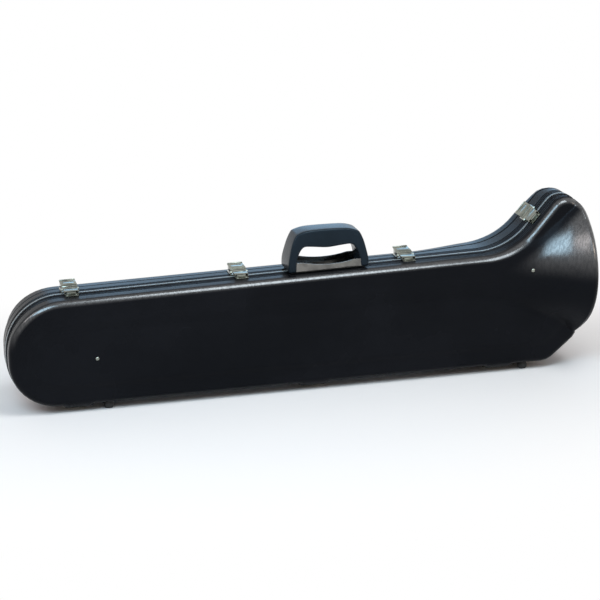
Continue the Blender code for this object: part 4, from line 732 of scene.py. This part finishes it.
# The latches' small shapes in a latch's own frame: along the seam, across the case and out
PIVOT_OUT, PIVOT_RISE = 0.0095, 0.0044
LEVER_ROLL = ((0, 0.0372, 0.0114), 0.0012, 0.0238, "X")
LATCH_EXTRAS = {
    "base": (stud, ((-0.0095, 0.0290, 0.0017), 0.0018, 0.0010), ((0.0095, 0.0290, 0.0017), 0.0018, 0.0010)),
    "keeper": (stud, ((-0.0070, -0.0128, 0.0018), 0.0016, 0.0010),
               ((0.0070, -0.0128, 0.0018), 0.0016, 0.0010)),
    "lever": (block, ((-0.0125, 0.0150, 0.0026), (-0.0114, 0.0322, 0.0102), 0.0004),
              ((0.0114, 0.0150, 0.0026), (0.0125, 0.0322, 0.0102), 0.0004),
              ((-0.0085, 0.0178, 0.0098), (0.0085, 0.0295, 0.0109), 0.0005)),
    "draw_plate": (block, ((-0.0108, -0.0104, 0.0063), (0.0108, 0.0052, 0.0073), 0.0004),
                   ((-0.0109, -0.0108, 0.0024), (-0.0099, 0.0040, 0.0072), 0.0004),
                   ((0.0099, -0.0108, 0.0024), (0.0109, 0.0040, 0.0072), 0.0004)),
}
for joint in frame["record"]["behaviour"]["joints"]:
    if not joint["name"].endswith("_lever_hinge"):
        continue
    latch = joint["name"][:-len("_lever_hinge")]
    along, across = Vector(joint["axis"]).normalized(), Vector((0, 1, 0))
    out = along.cross(across)
    start = Vector(joint["pos_m"]) - across * PIVOT_OUT - out * PIVOT_RISE
    stand = Matrix.Translation(start) @ Matrix((along, across, out)).transposed().to_4x4()
    for word, (shape, *rows) in LATCH_EXTRAS.items():
        node = f"{latch}_{word}"
        piece = eased(copy_of(node, node + "_piece"), LATCH_EDGE)
        extras = [shape(*row) for row in rows]
        if word == "lever":
            extras.append(stud(*LEVER_ROLL))
        for extra in extras:
            extra.data.transform(stand)
        settle(one_piece(piece, *extras), node, NICKEL)
    pressed(f"{latch}_pin", PIN_EDGE)
for number in (1, 2, 3):
    for word in ("back_leaf", "front_leaf", "pin"):
        pressed(f"hinge_{number}_{word}", HINGE_EDGE)
for name in ("lid_rivet_1", "lid_rivet_2"):
    pressed(name, RIVET_EDGE, segments=3)
CHANNEL = brushed("channel_plate", (0.20, 0.20, 0.19), (0.14, 0.14, 0.135), (0.12, 0.22), (0.09, 0.09, 0.085))
pressed("handle_bracket", CHANNEL_EDGE, CHANNEL, 3)
for name in ("handle_pin_slim", "handle_pin_bell"):
    pressed(name, HANDLE_PIN_EDGE)

# The handle: one moulding of black plastic, a thick grip on two flat-sided legs that stand over the
# ends of the nickel channel. It is drawn out from one foot over the grip to the other in steps.
# The handle's black is lifted a little and tinted blue: partly a painted reflection of blue light on its
# faces. The last colour is a painted blue tint of its reflections
HANDLE_BLACK = moulded_plastic("handle_black", (0.008, 0.012, 0.017), (0.03, 0.035, 0.04), (0.22, 0.32),
                               0.05, 0.16, (0.62, 0.84, 1.0), grain_scale=1100.0, depth=0.0004)
HANDLE_MIDDLE = Vector((0.0428, -0.005, 0.19614))
# Steps from the foot: out from the middle, up from the shell, depth, thickness and turn in degrees
HANDLE_STEPS = ((0.0597, 0.0018, 0.0525, 0.0140, 0), (0.0597, 0.0165, 0.0515, 0.0140, 5),
                (0.0560, 0.0310, 0.0460, 0.0145, 14), (0.0510, 0.0430, 0.0420, 0.0190, 30),
                (0.0450, 0.0510, 0.0395, 0.0255, 55), (0.0340, 0.0535, 0.0380, 0.0275, 80),
                (0.0170, 0.0530, 0.0368, 0.0292, 90), (0.0, 0.0520, 0.0360, 0.0320, 90))
# The feet follow the rise of the shells' upper edge
FOOT_BELOW, HANDLE_SLOPE = 0.01, 0.0236
HANDLE_EDGE, HANDLE_SMOOTH_STEPS = 0.0042, 2


def draw_out_handle():
    """Grow the handle from a foot: its end face is extruded from step to step, turned and sized."""
    rows = [(-out, *rest) for out, *rest in HANDLE_STEPS]
    rows += [(out, up, depth, thick, 180 - turn) for out, up, depth, thick, turn in HANDLE_STEPS[-2::-1]]
    bpy.ops.object.select_all(action="DESELECT")
    bpy.ops.mesh.primitive_plane_add(size=1, location=(0, 0, 0))
    made = bpy.context.object
    made.name = "moulded_handle"
    bpy.ops.object.mode_set(mode="EDIT")
    bpy.ops.mesh.select_all(action="SELECT")
    before = None
    for row in rows:
        out, up, depth, thick, turn = row
        at = HANDLE_MIDDLE + Vector((out, 0, up + HANDLE_SLOPE * out * (up < FOOT_BELOW)))
        if before is None:
            bpy.ops.transform.resize(value=(thick, depth, 1), center_override=(0, 0, 0))
            bpy.ops.transform.translate(value=at)
        else:
            bpy.ops.mesh.extrude_region_move(TRANSFORM_OT_translate={"value": at - before[0]})
            bpy.ops.transform.rotate(value=radians(before[3] - turn), orient_axis="Y", center_override=at)
            wider = thick / before[2]
            bpy.ops.transform.resize(value=(wider, depth / before[1], wider), center_override=at)
        before = (at, depth, thick, turn)
    bpy.ops.mesh.select_all(action="SELECT")
    bpy.ops.mesh.normals_make_consistent(inside=False)
    bpy.ops.object.mode_set(mode="OBJECT")
    return made


handle = eased(draw_out_handle(), HANDLE_EDGE, 3, 40)
applied(handle, "SUBSURF", levels=HANDLE_SMOOTH_STEPS)
bpy.ops.object.shade_smooth_by_angle(angle=SMOOTH_ANGLE)
settle(handle, "handle", HANDLE_BLACK)

# The feet: turned rubber bumpers screwed under both shells beside the hinges, and the aluminium
# tongue that keys the shells together all round the seam.
FOOT_EDGE, TONGUE_EDGE = 0.0008, 0.0002
MATT_DEPTH = 0.0006


def matt(name, colour, pale, scale, rough, relief):
    """A matt material with a fine broken surface in colour and relief."""
    made, tree, shader = new_material(name)
    here = node_of(tree, "ShaderNodeTexCoord", (-1000, 0))
    speck = noise_of(tree, here.outputs["Object"], scale, 6, (-800, 0))
    mask = ramp_of(tree, 0.35, 0.70, at=(-600, 100))
    tree.links.new(speck.outputs["Fac"], mask.inputs["Value"])
    tint = mixed(tree, mask.outputs["Result"], colour, pale, (-400, 100))
    tree.links.new(tint, shader.inputs["Base Color"])
    shader.inputs["Roughness"].default_value = rough
    relief_of(tree, shader, speck.outputs["Fac"], relief, MATT_DEPTH)
    return made


RUBBER = matt("foot_rubber", (0.012, 0.012, 0.013), (0.030, 0.029, 0.028), 900, 0.78, 0.3)
for name in ("front_foot_1", "front_foot_2", "back_foot_1", "back_foot_2"):
    pressed(name, FOOT_EDGE, RUBBER, angle=20)
TONGUE = brushed("tongue_aluminium", (0.56, 0.57, 0.59), (0.42, 0.43, 0.45), (0.34, 0.48),
                 (0.25, 0.25, 0.25))
pressed("seam_tongue", TONGUE_EDGE, TONGUE)

# The inserts: shaped boards padded and covered with short-pile plush, glued into each shell and
# hollowed for the bell, the slide and the small trays.
PLUSH = matt("plush_lining", (0.030, 0.006, 0.010), (0.085, 0.022, 0.030), 1400, 0.95, 0.9)
PLUSH_BLOCKS = ("back_liner_slim", "back_liner_neck", "back_liner_bell", "front_liner_slide",
                "front_liner_bell")
PLUSH_EDGE, PLUSH_FINER_STEPS = 0.0014, 2
# Deeper than the first, a plush face lies against the shell, and the board is at least the second deep
PLUSH_OUTER, PLUSH_LEAST = 0.016, 0.010
for node in PLUSH_BLOCKS:
    plush = pressed(node, PLUSH_EDGE, PLUSH, segments=3, angle=38)
    applied(plush, "TRIANGULATE", min_vertices=5)
    applied(plush, "SUBSURF", subdivision_type="SIMPLE", levels=PLUSH_FINER_STEPS)
    side = 1 if node.startswith("back") else -1
    places = np.array([vertex.co for vertex in plush.data.vertices])
    depths = side * (places[:, 1] + SEAM_OFFSET)
    held = np.minimum(depths, np.maximum(limit_of(places[:, [0, 2]], side), PLUSH_LEAST))
    places[:, 1] = side * np.where(depths > PLUSH_OUTER, held, depths) - SEAM_OFFSET
    plush.data.vertices.foreach_set("co", places.ravel())
    applied(plush, "WEIGHTED_NORMAL", keep_sharp=True)

# The slide holders in the lid: grooved beech blocks, each with a nickel clip that turns on a screw.
BEECH = matt("block_wood", (0.30, 0.18, 0.09), (0.38, 0.25, 0.13), 220, 0.55, 0.2)
BLOCK_EDGE, CLIP_EDGE, SCREW_EDGE = 0.0006, 0.0004, 0.0003
for number in (1, 2):
    pressed(f"slide_block_{number}", BLOCK_EDGE, BEECH)
    pressed(f"slide_clip_{number}", CLIP_EDGE)
    pressed(f"clip_screw_{number}", SCREW_EDGE)
